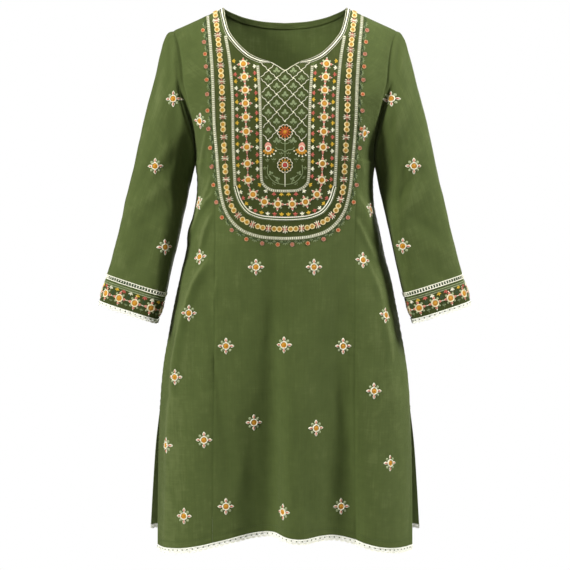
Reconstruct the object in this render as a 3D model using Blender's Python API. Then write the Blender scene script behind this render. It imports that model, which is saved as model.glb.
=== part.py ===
"""A kurta tunic, filled out as when it is worn, and empty.

Every piece of cloth is a thin wall. Its outer face is a grid of points worked out
from a few sizes of the garment, and its inner face is the same grid moved in by the
cloth's thickness. Metres, +Z up, the front faces -Y. The origin lies between the two
high points of the shoulder seams, where a wearer's shoulders hold the garment.
"""

from types import SimpleNamespace

import bmesh
import bpy
import numpy as np

# ---------------------------------------------------------------- driving sizes
CLOTH = 0.0015  # thickness of the cotton with its embroidery
TRIM = 0.0012  # thickness of braid, band and lace
SEAM_GAP = 0.0003  # between two pieces that are sewn together
LAID_GAP = 0.0005  # under trim that is laid on a curved panel

UNDERARM = -0.274  # height of the underarm point
SLIT_TOP = -0.705  # where the side seams end
FRONT_HEM = -0.945  # at the slit; the hem rises towards the middle
BACK_HEM = -0.929
HEM_RISE = 0.027
HEM_RISE_TOP = -0.605  # above this height the grid's rows are level
HEM_RISE_BEND = 1.5  # a larger power makes the hem rise nearer to the middle
FOLD_DROP = 0.26  # how far a fold's crest hangs lower, for each metre that it stands out
FOLD_REACH = 8  # a larger power carries the folds nearer to the panel's edge
SEAM_X = 0.121  # princess seams, from the hem to above the bust
SEAM_X_TOP = 0.136  # and at the shoulder
NECK_BAND = 0.0085  # width of the corded band
NECK_FACING = 0.011
HEM_LACE = 0.008
CUFF_LACE = 0.007
CUFF_BORDER = 0.049  # from the head of the braid to the edge of the cuff
CUFF_BRAID = 0.007

ROWS_SLIT = 9  # rows of the grid from hem to slit top
ROWS_SIDE = 15  # from slit top to underarm
ROWS_ARM = 12  # from underarm to shoulder
CENTRE_COLUMNS = 8  # columns of a front half from the middle to the princess seam
CENTRE_ROWS = 5  # rows of the front from underarm to the notch
NOTCH_ARM = 0.36  # share of the armhole that the notch's row reaches
CORNER_ARM = 0.43  # and the row of the notch's corner
BACK_NECK_COLUMNS = 5
SIDE_COLUMNS = 5  # columns from the princess seam to the side seam
ARM_START = ROWS_SLIT + ROWS_SIDE  # the row of the underarm
ARM_BEND = 3  # a larger power lets fewer columns bend with the armhole
SEAM_ROUNDS = 4  # times that the princess seam's place along a row is corrected
WELD = 1e-7  # points closer than this are one
SHARP = 40  # degrees between two faces that are shaded apart

# ---------------------------------------------------------------- tables
# Body above the slits: height, half width, depth of the front, depth of the back.
BODY = (
    (-0.274, 0.1584, 0.112, 0.104),
    (-0.304, 0.1554, 0.111, 0.101),
    (-0.340, 0.1573, 0.109, 0.096),
    (-0.393, 0.1680, 0.108, 0.092),
    (-0.437, 0.1770, 0.110, 0.094),
    (-0.491, 0.1901, 0.113, 0.101),
    (-0.539, 0.2000, 0.115, 0.107),
    (-0.589, 0.2088, 0.117, 0.112),
    (-0.642, 0.2164, 0.119, 0.115),
    (-0.705, 0.2224, 0.121, 0.117),
)
# Flaps beside the slits, by the share of the slit's height below its top:
# half width, depth of the edge, depth of the middle.
FRONT_FLAP = (
    (0.00, 0.2224, 0.000, 0.121),
    (0.33, 0.2246, 0.017, 0.122),
    (0.68, 0.2244, 0.035, 0.123),
    (1.00, 0.2236, 0.050, 0.124),
)
BACK_FLAP = (
    (0.00, 0.2224, 0.000, 0.117),
    (0.33, 0.2328, 0.024, 0.117),
    (0.68, 0.2398, 0.043, 0.117),
    (1.00, 0.2450, 0.056, 0.117),
)
# Armhole from the underarm to the shoulder: half width, height.
ARMHOLE = (
    (0.1584, -0.2740),
    (0.1580, -0.2592),
    (0.1587, -0.2373),
    (0.1614, -0.2137),
    (0.1702, -0.1711),
    (0.1783, -0.1327),
    (0.1805, -0.1096),
    (0.1869, -0.0700),
    (0.1975, -0.0405),
)
# Shoulder seam from the neck to the armhole, and front and back necklines from the
# middle to the shoulder: half width, height.
SHOULDER = ((0.1080, 0.0), (0.1975, -0.0405))
NOTCH = (0.0, -0.1201)
NECKLINE = (
    (0.0253, -0.1050),
    (0.0396, -0.1007),
    (0.0587, -0.0918),
    (0.0731, -0.0795),
    (0.0858, -0.0648),
    (0.0970, -0.0467),
    (0.1030, -0.0250),
    (0.1080, 0.0),
)
BACK_NECKLINE = (
    (0.0000, -0.0179),
    (0.0344, -0.0163),
    (0.0703, -0.0110),
    (0.0920, -0.0050),
    (0.1080, 0.0),
)
FRONT_ROUND = 0.60  # how the front turns over the shoulder; smaller is fuller
BACK_ROUND = 0.45
ARM_WIDTH = 0.222  # half width that the chest's curve has above the armpit
ARM_LENGTH = 0.250  # of each armhole's half
ARM_RISE = 0.150  # height over which it grows to that

BUST = SimpleNamespace(x=0.080, z=-0.238, wide=0.056, high=0.066, depth=0.010)

# Soft folds: place at the hem and at the top, height of the top, width on the left and
# on the right, and how far the fold stands out at the hem (a trough is negative).
FRONT_FOLDS = (
    (-0.160, -0.150, -0.38, 0.055, 0.050, 0.017),
    (-0.040, -0.030, -0.34, 0.060, 0.034, -0.022),
    (0.022, 0.016, -0.40, 0.040, 0.042, 0.013),
    (0.098, 0.102, -0.36, 0.050, 0.030, -0.020),
    (0.162, 0.150, -0.40, 0.040, 0.055, 0.017),
)
BACK_FOLDS = (
    (-0.176, -0.150, -0.42, 0.044, 0.050, 0.014),
    (-0.092, -0.080, -0.40, 0.046, 0.036, -0.026),
    (-0.012, -0.010, -0.44, 0.044, 0.052, 0.012),
    (0.078, 0.070, -0.42, 0.042, 0.038, -0.025),
    (0.162, 0.140, -0.42, 0.046, 0.050, 0.014),
)

# Sleeve: its line beside the body and its outer line, as half width and height.
SLEEVE_INNER = (
    (0.1584, -0.2740),
    (0.1760, -0.3574),
    (0.1921, -0.4285),
    (0.2079, -0.4995),
    (0.2236, -0.5501),
)
SLEEVE_OUTER = (
    (0.1975, -0.0405),
    (0.2114, -0.0544),
    (0.2185, -0.0734),
    (0.2282, -0.1087),
    (0.2377, -0.1490),
    (0.2592, -0.2414),
    (0.2810, -0.3364),
    (0.3069, -0.4409),
    (0.3285, -0.5178),
)
# Share of the sleeve's length, half its depth, how far forward its middle lies.
SLEEVE_DEPTH = (
    (0.00, 0.050, 0.000),
    (0.25, 0.056, 0.000),
    (0.55, 0.055, 0.003),
    (0.80, 0.050, 0.007),
    (1.00, 0.047, 0.010),
)
SLEEVE_ROWS = 13  # rings from the armhole to the braid
CAP_CROWDING = 1.25  # how much closer the rings lie at the cap
CAP_SHARE = 0.40  # share of the sleeve over which the armhole's shape fades
RUNS_ON = 0.3  # cosine of the bend over which two walls no longer share a normal
INNER_LAG = 1.8  # how late the underarm side follows, as the cap is longer

COLOURS = {
    "cotton": (0.095, 0.140, 0.050, 1.0),
    "trim": (0.720, 0.690, 0.520, 1.0),
    "lace": (0.660, 0.620, 0.450, 1.0),
}
ROUGHNESS = 0.85


# ---------------------------------------------------------------- curves
def column(table, index):
    return np.array([row[index] for row in table], float)


def smooth(places, values, at):
    """Cubic pieces through a table's points, whose slopes are the harmonic means of the
    slopes beside them, so that the curve never swings past its points."""
    order = np.argsort(places)
    x, y = np.asarray(places, float)[order], np.asarray(values, float)[order]
    step = np.diff(x)
    slope = np.diff(y) / step
    same = slope[:-1] * slope[1:] > 0
    total = np.where(same, slope[:-1] + slope[1:], 1.0)
    inner = np.where(same, 2 * slope[:-1] * slope[1:] / total, 0.0)
    tangent = np.concatenate([slope[:1], inner, slope[-1:]])
    at = np.clip(at, x[0], x[-1])
    i = np.clip(np.searchsorted(x, at, side="right") - 1, 0, len(step) - 1)
    u = (at - x[i]) / step[i]
    return (
        y[i] * (1 + 2 * u) * (1 - u) ** 2
        + step[i] * tangent[i] * u * (1 - u) ** 2
        + y[i + 1] * u**2 * (3 - 2 * u)
        + step[i] * tangent[i + 1] * u**2 * (u - 1)
    )


def along(points, share):
    """Points of a smooth path at shares of its length, measured along its chords."""
    points = np.array(points, float)
    length = np.concatenate([[0], np.cumsum(np.linalg.norm(np.diff(points, axis=0), axis=1))])
    return np.stack([smooth(length / length[-1], p, share) for p in points.T], axis=-1)


def ease(x):
    x = np.clip(x, 0, 1)
    return x * x * (3 - 2 * x)


# ---------------------------------------------------------------- the body's surface
FRONT = SimpleNamespace(
    side=-1,
    depth=2,
    flap=FRONT_FLAP,
    hem=FRONT_HEM,
    folds=FRONT_FOLDS,
    turn=FRONT_ROUND,
    centre_columns=CENTRE_COLUMNS,
)
BACK = SimpleNamespace(
    side=1,
    depth=3,
    flap=BACK_FLAP,
    hem=BACK_HEM,
    folds=BACK_FOLDS,
    turn=BACK_ROUND,
    centre_columns=BACK_NECK_COLUMNS + 1,
)


def fold_height(panel, x, z):
    """Sum of the folds: each is a bell across, with its own width on each side, that
    drifts from its top place to its hem place and grows on the way down."""
    total = np.zeros_like(z)
    for hem_x, top_x, top_z, left, right, depth in panel.folds:
        down = np.clip((top_z - z) / (top_z - panel.hem), 0, 1)
        off = x - (top_x + (hem_x - top_x) * down)
        total += depth * ease(down) * np.exp(-((off / np.where(off < 0, left, right)) ** 2))
    return total


def seam_x(z):
    """Half width of the princess seam: straight up to the bust, then out to the shoulder."""
    return SEAM_X + (SEAM_X_TOP - SEAM_X) * ease((z - UNDERARM) / -UNDERARM)


def lower_half(panel, mirror):
    """Rows from hem to underarm of one half. Each is part of an ellipse from the middle
    to the panel's edge, with columns placed so that one follows the princess seam."""
    flap = np.linspace(1, 0, ROWS_SLIT + 1)[:-1]
    z = np.concatenate([
        SLIT_TOP + flap * (panel.hem - SLIT_TOP),
        np.linspace(SLIT_TOP, UNDERARM, ROWS_SIDE + 1),
    ])
    heights = column(BODY, 0)
    share = column(panel.flap, 0)
    above = z[len(flap):]
    width = np.concatenate([
        smooth(share, column(panel.flap, 1), flap),
        smooth(heights, column(BODY, 1), above),
    ])
    edge = np.concatenate([smooth(share, column(panel.flap, 2), flap), np.zeros(len(above))])
    middle = np.concatenate([
        smooth(share, column(panel.flap, 3), flap),
        smooth(heights, column(BODY, panel.depth), above),
    ])
    turn = np.arccos(edge / middle)
    seam = np.arcsin(SEAM_X / width * np.sin(turn))
    parts = [
        np.linspace(0, seam, panel.centre_columns + 1),
        np.linspace(seam, turn, SIDE_COLUMNS + 1)[1:],
    ]
    angle = np.concatenate(parts).T
    x = mirror * width[:, None] * np.sin(angle) / np.sin(turn)[:, None]
    round_off = (1 - np.cos(angle)) / (1 - np.cos(turn))[:, None]
    depth = middle[:, None] + (edge - middle)[:, None] * round_off
    rise = HEM_RISE * ease((HEM_RISE_TOP - z) / (HEM_RISE_TOP - panel.hem))
    inside = np.clip(1 - (x / width[:, None]) ** 2, 0, 1)
    height = z[:, None] + rise[:, None] * inside**HEM_RISE_BEND
    fold = fold_height(panel, x, height) * (1 - (angle / turn[:, None]) ** FOLD_REACH)
    height = height - FOLD_DROP * fold
    out = fold + bust_height(panel, x, height)
    return np.stack([
        x + mirror * out * np.sin(angle),
        panel.side * (depth + out * np.cos(angle)),
        height,
    ], axis=-1)


def bust_height(panel, x, z):
    """Two broad soft mounds that the bust darts give the front."""
    if panel.side > 0:
        return np.zeros_like(z)
    across = (np.abs(x) - BUST.x) / BUST.wide
    return BUST.depth * np.exp(-(across**2) - ((z - BUST.z) / BUST.high) ** 2)


def shoulder_height(x):
    """Height of the straight shoulder seam at a half width. Inside the neck a parabola
    carries it on to the middle at the same slope."""
    (neck_x, neck_z), (tip_x, tip_z) = SHOULDER
    slope = (tip_z - neck_z) / (tip_x - neck_x)
    inside = neck_z + slope * (x**2 - neck_x**2) / (2 * neck_x)
    return np.where(x < neck_x, inside, neck_z + slope * (x - neck_x))


def chest_depth(panel, x, z):
    """Depth of the chest over the underarm: the underarm's depth, times a curve that
    turns over the shoulder, times the rounding towards the arm."""
    base = BODY[0][panel.depth]
    up = (z - UNDERARM) / (shoulder_height(np.abs(x)) - UNDERARM)
    over = (1 - np.clip(up, 0, 1) ** 2) ** panel.turn
    half = BODY[0][1] + (ARM_WIDTH - BODY[0][1]) * ease((z - UNDERARM) / ARM_RISE)
    return base * over * np.sqrt(np.clip(1 - (x / half) ** 2, 0, 1))


def arm_shares(panel):
    """Shares of the armhole at which a panel's rows reach it."""
    if panel.side < 0:
        low = np.linspace(0, NOTCH_ARM, CENTRE_ROWS + 1)
        return np.concatenate([low, np.linspace(CORNER_ARM, 1, ROWS_ARM - CENTRE_ROWS)])
    last = 1 - NECK_FACING / ARM_LENGTH
    return np.concatenate([np.linspace(0, last, ROWS_ARM), [1.0]])


def front_upper(start):
    """Rows from underarm to shoulder seam. Each runs straight from the middle, or from the
    neckline, to the armhole. The first column follows the edge of the neck band, and
    another the princess seam."""
    share = arm_shares(FRONT)
    arm = along(ARMHOLE, share)
    middle = np.linspace((0, UNDERARM), NOTCH, CENTRE_ROWS + 1)
    neck = along(NECKLINE, np.linspace(0, 1, ROWS_ARM - CENTRE_ROWS))
    first = np.concatenate([middle, neck])
    reach = arm - first
    length = np.linalg.norm(reach, axis=1)
    run = np.gradient(neck, axis=0)
    lean = np.abs(np.cross(run, reach[-len(neck):]))
    lean /= np.linalg.norm(run, axis=1) * length[-len(neck):]
    band = np.empty(len(first))
    band[-len(neck):] = NECK_BAND / (lean * length[-len(neck):])
    level = np.linspace(0, 1, CENTRE_ROWS + 2)
    width = start[:, 0] / start[-1, 0]
    band[: CENTRE_ROWS + 2] = width[1] + (band[CENTRE_ROWS + 1] - width[1]) * level
    seam = np.full(len(first), width[CENTRE_COLUMNS])
    for _ in range(SEAM_ROUNDS):
        seam = (seam_x(first[:, 1] + reach[:, 1] * seam) - first[:, 0]) / reach[:, 0]
    inner = np.linspace(band, seam, CENTRE_COLUMNS, axis=1)
    even = np.linspace(0, 1, SIDE_COLUMNS + 1)[1:]
    curved = (width[CENTRE_COLUMNS + 1:] - width[CENTRE_COLUMNS]) / (1 - width[CENTRE_COLUMNS])
    mix = ease(np.arange(len(first)) / (CENTRE_ROWS + 1))[:, None]
    side = seam[:, None] + (1 - seam)[:, None] * (curved + (even - curved) * mix)
    across = np.concatenate([0 * seam[:, None], inner, side], axis=1)
    return (first[:, None] + reach[:, None] * across[..., None])[1:]


def back_upper(start):
    """Rows from underarm to the top. Columns run straight from the underarm's row to the
    neckline or the shoulder seam, and those near the arm bend with the armhole. The row
    under the top lies the facing's width below it."""
    neck = along(BACK_NECKLINE, np.linspace(0, 1, BACK_NECK_COLUMNS + 1))
    x = np.linspace(SEAM_X_TOP, SHOULDER[-1][0], SIDE_COLUMNS + 1)
    top = np.vstack([neck, np.stack([x, shoulder_height(x)], axis=-1)])
    share = arm_shares(BACK)
    arm = along(ARMHOLE, share)
    length = np.linalg.norm(top - start, axis=1)
    level = np.linspace(0, 1, ROWS_ARM)[:, None] * (1 - NECK_FACING / length)
    level = np.vstack([level, np.ones_like(length)])
    flat = start + (top - start) * level[..., None]
    chord = start[-1] + (top[-1] - start[-1]) * share[:, None]
    flat[:, -1] = chord
    bend = np.linspace(0, 1, len(top)) ** ARM_BEND
    return (flat + bend[:, None] * (arm - chord)[:, None])[1:]


def upper_half(panel, start, mirror):
    """Rows of one half above the underarm, with their depth."""
    start = np.stack([np.abs(start[:, 0]), start[:, 2]], axis=-1)
    flat = front_upper(start) if panel.side < 0 else back_upper(start)
    x, z = flat[..., 0], flat[..., 1]
    arm_side = np.linspace(0, 1, x.shape[1]) ** ARM_BEND
    depth = chest_depth(panel, x, z) + bust_height(panel, x, z) * (1 - arm_side)
    return np.stack([mirror * x, panel.side * depth, z], axis=-1)


def half_grid(panel, side):
    """Half of a panel, from hem to top, its columns from the middle to the side."""
    mirror = -1 if side == "left" else 1
    low = lower_half(panel, mirror)
    return np.concatenate([low, upper_half(panel, low[-1], mirror)])


def grid_normals(grid, outward, closed=False):
    """Unit normals from the differences between neighbouring points."""
    if closed:
        across = np.roll(grid, -1, axis=1) - np.roll(grid, 1, axis=1)
    else:
        across = np.gradient(grid, axis=1)
    normal = np.cross(across, np.gradient(grid, axis=0))
    normal /= np.linalg.norm(normal, axis=-1, keepdims=True)
    turned = np.sum(normal * outward, axis=-1).mean() < 0
    return -normal if turned else normal


def unit(vectors):
    return vectors / np.linalg.norm(vectors, axis=-1, keepdims=True)


def half_normals(grid, panel):
    """Normals of half a panel. On the side seam they point sideways, so that the walls
    of front and back meet flush."""
    normal = grid_normals(grid, np.array([0, panel.side, 0]))
    rows = slice(ROWS_SLIT, ROWS_SLIT + ROWS_SIDE + 1)
    run = np.gradient(grid[:, -1], axis=0)[rows]
    side = np.sign(grid[0, -1, 0])
    normal[rows, -1] = unit(np.stack([side * run[:, 2], 0 * run[:, 0], -side * run[:, 0]], axis=-1))
    return normal


def body_half(side):
    """Grids and normals of one half of the front and of the back. They share normals
    along the middle of the shoulder seam, and each shares the sleeve's where the cloth
    runs on over the shoulder."""
    half = SimpleNamespace(side=side, front=half_grid(FRONT, side), back=half_grid(BACK, side))
    half.front_normal = half_normals(half.front, FRONT)
    half.back_normal = half_normals(half.back, BACK)
    flush_shoulder(half)
    _, sleeve_normal = sleeve_surface(half)
    ring = sleeve_normal[0]
    up_back = np.concatenate([ring[:1], ring[ROWS_ARM:][::-1]])
    for panel_normal, own in ((half.front_normal, ring[: ROWS_ARM + 1]), (half.back_normal, up_back)):
        edge = panel_normal[ARM_START:, -1]
        runs_on = np.sum(edge * own, axis=-1) > RUNS_ON
        edge[runs_on] = unit(edge + own)[runs_on]
    return half


def flush_shoulder(half):
    """One normal for each place along the shoulder seam, square to the seam."""
    seam = unit(half.front[-1, -1] - half.front[-1, 0])
    up = unit(np.array([-seam[2], 0, seam[0]]) * np.sign(seam[0]))
    half.front_normal[-1] = up
    half.back_normal[-1, BACK_NECK_COLUMNS:] = up


def share_middle(left, right):
    """Both halves have the same normals where they meet in the middle."""
    whole = slice(None, ARM_START + CENTRE_ROWS + 1)
    for a, b in (
        (left.front_normal[whole, 0], right.front_normal[whole, 0]),
        (left.back_normal[:, 0], right.back_normal[:, 0]),
    ):
        a[:] = unit(a + b)
        b[:] = a


# ---------------------------------------------------------------- sleeves
def sleeve_shares():
    """Shares of the sleeve's outer length at which its rings lie."""
    length = np.sum(np.linalg.norm(np.diff(np.array(SLEEVE_OUTER), axis=0), axis=1))
    head = 1 - CUFF_BORDER / length
    foot = 1 - (CUFF_BORDER - CUFF_BRAID) / length
    upper = head * np.linspace(0, 1, SLEEVE_ROWS + 1) ** CAP_CROWDING
    return np.concatenate([upper, [foot, (foot + 1) / 2, 1.0]])


def round_hole(front_part, back_part):
    """The two edges of an armhole as one ring: up the front and down the back."""
    return np.concatenate([front_part, back_part[-2:0:-1]])


def sleeve_grid(half):
    """Rings from the armhole to the cuff. Each is an ellipse between the sleeve's inner
    and outer lines; near the armhole it takes the armhole's own shape."""
    share = sleeve_shares()
    outer = along(SLEEVE_OUTER, share)
    inner = along(SLEEVE_INNER, share**INNER_LAG)
    deep = smooth(column(SLEEVE_DEPTH, 0), column(SLEEVE_DEPTH, 1), share)
    forward = smooth(column(SLEEVE_DEPTH, 0), column(SLEEVE_DEPTH, 2), share)
    angle = round_hole(np.pi * (1 - arm_shares(FRONT)), -np.pi * (1 - arm_shares(BACK)))
    centre, reach = (outer + inner) / 2, (outer - inner) / 2
    flat = centre[:, None] + reach[:, None] * np.cos(angle)[None, :, None]
    y = -forward[:, None] - deep[:, None] * np.sin(angle)
    mirror = -1 if half.side == "left" else 1
    rings = np.stack([mirror * flat[..., 0], y, flat[..., 1]], axis=-1)
    hole = round_hole(half.front[ARM_START:, -1], half.back[ARM_START:, -1])
    fade = 1 - ease(share / CAP_SHARE)
    return rings + fade[:, None, None] * (hole - rings[0])


def sleeve_surface(half):
    grid = sleeve_grid(half)
    return grid, grid_normals(grid, grid - grid.mean(axis=1, keepdims=True), closed=True)


# ---------------------------------------------------------------- solids
def wall(name, finish, patches, thickness):
    """One closed solid between the outer face that the patches make together and the
    same face moved in by the thickness. A patch is a grid with its normals."""
    points, normals, triangles = [], [], []
    start = 0
    for grid, normal in patches:
        rows, columns = grid.shape[:2]
        index = start + np.arange(rows * columns).reshape(rows, columns)
        a, b, c, d = index[:-1, :-1], index[:-1, 1:], index[1:, 1:], index[1:, :-1]
        triangles += [np.stack([k.ravel() for k in t], axis=-1) for t in ((a, b, c), (a, c, d))]
        points.append(grid.reshape(-1, 3))
        normals.append(normal.reshape(-1, 3))
        start += rows * columns
    points, normals = np.concatenate(points), np.concatenate(normals)
    _, first, joined = np.unique(
        np.round(points / WELD).astype(int), axis=0, return_index=True, return_inverse=True
    )
    joined = joined.ravel()
    shared = np.zeros((len(first), 3))
    np.add.at(shared, joined, normals)
    outer = points[first]
    faces = joined[np.concatenate(triangles)]
    edges = np.sort(faces[:, [0, 1, 1, 2, 2, 0]].reshape(-1, 2), axis=1)
    edges, uses = np.unique(edges, axis=0, return_counts=True)
    p, q = edges[uses == 1].T
    count = len(outer)
    rims = [np.stack([p, q, q + count], axis=-1), np.stack([p, q + count, p + count], axis=-1)]
    mesh = bpy.data.meshes.new(name)
    corners = np.concatenate([outer, outer - unit(shared) * thickness])
    mesh.from_pydata(corners.tolist(), [], np.concatenate([faces, faces + count, *rims]).tolist())
    work = bmesh.new()
    work.from_mesh(mesh)
    bmesh.ops.recalc_face_normals(work, faces=work.faces[:])
    if work.calc_volume(signed=True) < 0:
        bmesh.ops.reverse_faces(work, faces=work.faces[:])
    work.to_mesh(mesh)
    work.free()
    mesh.shade_smooth()
    mesh.set_sharp_from_angle(angle=np.radians(SHARP))
    mesh.materials.append(finish)
    piece = bpy.data.objects.new(name, mesh)
    bpy.context.collection.objects.link(piece)


def ring(grid):
    """A grid whose last column is its first again."""
    return np.concatenate([grid, grid[:, :1]], axis=1)


def drawn_in(grid, top=0.0, near=0.0, far=0.0):
    """The grid with its top row, first column or last column moved in by an amount."""
    grid = grid.copy()
    for edge, beside, amount in (
        (np.s_[-1], np.s_[-2], top),
        (np.s_[:, 0], np.s_[:, 1], near),
        (np.s_[:, -1], np.s_[:, -2], far),
    ):
        grid[edge] += amount * unit(grid[beside] - grid[edge])
    return grid


def make_finish(name):
    finish = bpy.data.materials.new(name)
    finish.use_nodes = True
    shader = finish.node_tree.nodes["Principled BSDF"]
    shader.inputs["Base Color"].default_value = COLOURS[name]
    shader.inputs["Roughness"].default_value = ROUGHNESS
    finish.diffuse_color = COLOURS[name]
    return finish


def make_panels(halves, cotton):
    """The centre front and the back in one piece each, and the two side fronts."""
    gap = SEAM_GAP / 2
    inner, outer = slice(0, CENTRE_COLUMNS + 1), slice(CENTRE_COLUMNS, None)
    centre, back = [], []
    for half in halves:
        centre.append((drawn_in(half.front[:, inner], top=gap, far=gap), half.front_normal[:, inner]))
        back.append((drawn_in(half.back, top=gap, far=gap), half.back_normal))
        grid = drawn_in(half.front[:, outer], top=gap, near=gap, far=gap)
        wall(f"front_side_{half.side}", cotton, [(grid, half.front_normal[:, outer])], CLOTH)
    wall("front_centre", cotton, centre, CLOTH)
    wall("back", cotton, back, CLOTH)


def make_neck(halves, cotton, trim):
    """Corded bands on the front from the notch's corners to the shoulders, made from the
    two columns beside the neckline, and the facing inside the back neck, made from the
    back's two top rows."""
    rows = slice(-(ROWS_ARM - CENTRE_ROWS), None)
    facing = []
    for half in halves:
        normal = half.front_normal[rows, :2]
        band = drawn_in(half.front[rows, :2], top=SEAM_GAP / 2) + normal * (LAID_GAP + TRIM)
        wall(f"neck_band_{half.side}", trim, [(band, normal)], TRIM)
        part = np.s_[-2:, : BACK_NECK_COLUMNS + 1]
        normal = half.back_normal[part]
        facing.append((drawn_in(half.back[part], far=SEAM_GAP) - normal * (CLOTH + LAID_GAP), normal))
    wall("back_neck_facing", cotton, facing, TRIM)


def hanging(above, edge, normal, height):
    """A patch of lace that carries on straight below an edge."""
    down = unit(edge - above)
    head = edge + down * SEAM_GAP
    return np.stack([head + down * height, head]), np.stack([normal, normal])


def make_hem_lace(halves, lace):
    for panel in ("front", "back"):
        patches = []
        for half in halves:
            grid, normal = getattr(half, panel), getattr(half, panel + "_normal")
            patches.append(hanging(grid[1], grid[0], normal[0], HEM_LACE))
        wall(f"hem_lace_{panel}", lace, patches, TRIM)


def make_sleeve(half, cotton, trim, lace):
    """Sleeve, the braid at the head of its border, and its lace."""
    grid, normal = sleeve_surface(half)
    edge = round_hole(half.front_normal[ARM_START:, -1], half.back_normal[ARM_START:, -1])
    runs_on = np.sum(edge * normal[0], axis=-1) > RUNS_ON
    normal[0][runs_on] = edge[runs_on]
    away = grid[1] - grid[0]
    away -= np.sum(away * normal[0], axis=-1, keepdims=True) * normal[0]
    sleeve = grid.copy()
    sleeve[0] += SEAM_GAP * unit(away)
    wall(f"sleeve_{half.side}", cotton, [(ring(sleeve), ring(normal))], CLOTH)
    head = slice(SLEEVE_ROWS, SLEEVE_ROWS + 2)
    braid = grid[head] + normal[head] * (SEAM_GAP + TRIM)
    wall(f"cuff_braid_{half.side}", trim, [(ring(braid), ring(normal[head]))], TRIM)
    patch, around = hanging(grid[-2], grid[-1], normal[-1], CUFF_LACE)
    wall(f"cuff_lace_{half.side}", lace, [(ring(patch), ring(around))], TRIM)


def main():
    for old in list(bpy.data.objects):
        bpy.data.objects.remove(old)
    cotton, trim, lace = make_finish("cotton"), make_finish("trim"), make_finish("lace")
    halves = [body_half("left"), body_half("right")]
    share_middle(*halves)
    make_panels(halves, cotton)
    make_neck(halves, cotton, trim)
    make_hem_lace(halves, lace)
    for half in halves:
        make_sleeve(half, cotton, trim, lace)


main()
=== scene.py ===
# %% [markdown]
# # An embroidered kurta, filled out as it is worn
#
# The solids that the frame holds are thin walls with the right cut and the main folds.
# Here the same cut is worked out again on finer grids, with creases, seams, stitches,
# lace and embroidery. Each cell makes one thing and prints what it made.

# %% Tools and the frame
from types import SimpleNamespace

import bpy
import numpy as np
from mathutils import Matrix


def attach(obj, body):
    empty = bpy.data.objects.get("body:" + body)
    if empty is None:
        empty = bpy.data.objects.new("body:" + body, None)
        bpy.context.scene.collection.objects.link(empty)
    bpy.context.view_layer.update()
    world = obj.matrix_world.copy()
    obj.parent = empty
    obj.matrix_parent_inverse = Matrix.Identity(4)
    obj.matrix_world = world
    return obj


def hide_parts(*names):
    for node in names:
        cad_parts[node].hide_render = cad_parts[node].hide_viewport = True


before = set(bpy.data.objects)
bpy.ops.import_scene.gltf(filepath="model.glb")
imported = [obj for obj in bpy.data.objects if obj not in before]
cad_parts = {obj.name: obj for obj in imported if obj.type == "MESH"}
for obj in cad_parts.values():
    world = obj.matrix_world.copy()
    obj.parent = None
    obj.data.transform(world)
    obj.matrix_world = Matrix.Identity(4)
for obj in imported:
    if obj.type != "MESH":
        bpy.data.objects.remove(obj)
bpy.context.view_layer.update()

# %% [markdown]
# ## Camera, light and floor
#
# The garment hangs at eye height between soft lamps. The left one is the strongest, the
# right one grazes the cloth from the side, so that the folds shade each other, and one
# behind serves anyone who walks round. The world fills the shadows a little. The Light
# Path node tells backdrop and fill apart, so that the backdrop can be white while the
# fill stays gentle.

# %% Camera
camera = bpy.data.objects.new("camera", bpy.data.cameras.new("camera"))
bpy.context.scene.collection.objects.link(camera)
camera.location = (0.0, -2.6, -0.4195)
camera.rotation_euler = (np.radians(90 - 1.5686), 0.0, 0.0)
camera.data.lens = 92.29
camera.data.sensor_width = 36.0
bpy.context.scene.camera = camera
bpy.context.scene.view_settings.view_transform = "Standard"
print("camera:", camera.data.lens, "mm lens,", -camera.location.y, "m away")

# %% Lamps and world
LAMPS = (  # name, place, size, power, aim
    ("left", (-2.55, -1.75, 1.00), 0.9, 160.0, (0.0, 0.0, -0.45)),
    ("right", (2.80, -0.60, 1.30), 0.9, 165.0, (0.0, 0.0, -0.50)),
    ("front", (-0.40, -3.00, 1.60), 1.4, 13.0, (0.0, 0.0, -0.45)),
    ("back", (0.90, 2.90, 0.40), 1.6, 98.0, (0.0, 0.0, -0.50)),
)
FILL_LIGHT = 0.080


def lamp(kind, name, place, power, aim):
    """A lamp of a kind at a place, turned to look at its aim."""
    light = bpy.data.lights.new(name, kind)
    light.energy = power
    holder = bpy.data.objects.new(name, light)
    bpy.context.scene.collection.objects.link(holder)
    holder.location = place
    x, y, z = np.subtract(aim, place)
    holder.rotation_euler = (np.arctan2(np.hypot(x, y), -z), 0.0, np.arctan2(-x, y))
    return light, holder


for name, place, size, power, aim in LAMPS:
    light, holder = lamp("AREA", name, place, power, aim)
    light.shape, light.size = "DISK", size
    holder.visible_camera = False

world = bpy.data.worlds.new("studio")
world.use_nodes = True
bpy.context.scene.world = world
tree = world.node_tree
tree.nodes.clear()
backdrop, fill = (tree.nodes.new("ShaderNodeBackground") for _ in range(2))
backdrop.inputs["Color"].default_value = (1, 1, 1, 1)
fill.inputs["Color"].default_value = (0.97, 0.985, 1.0, 1)
fill.inputs["Strength"].default_value = FILL_LIGHT
which = tree.nodes.new("ShaderNodeMixShader")
tree.links.new(tree.nodes.new("ShaderNodeLightPath").outputs["Is Camera Ray"], which.inputs[0])
tree.links.new(fill.outputs[0], which.inputs[1])
tree.links.new(backdrop.outputs[0], which.inputs[2])
tree.links.new(which.outputs[0], tree.nodes.new("ShaderNodeOutputWorld").inputs["Surface"])

# A narrow beam from above reaches through the neck, so that its inside isn't black.
beam, _ = lamp("SPOT", "neck_beam", (0.0, -1.25, 0.95), 175.0, (0.0, 0.065, -0.075))
beam.spot_size, beam.spot_blend, beam.shadow_soft_size = np.radians(10), 1.0, 0.12
print("lamps:", [row[0] for row in LAMPS], "fill", FILL_LIGHT)

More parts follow.
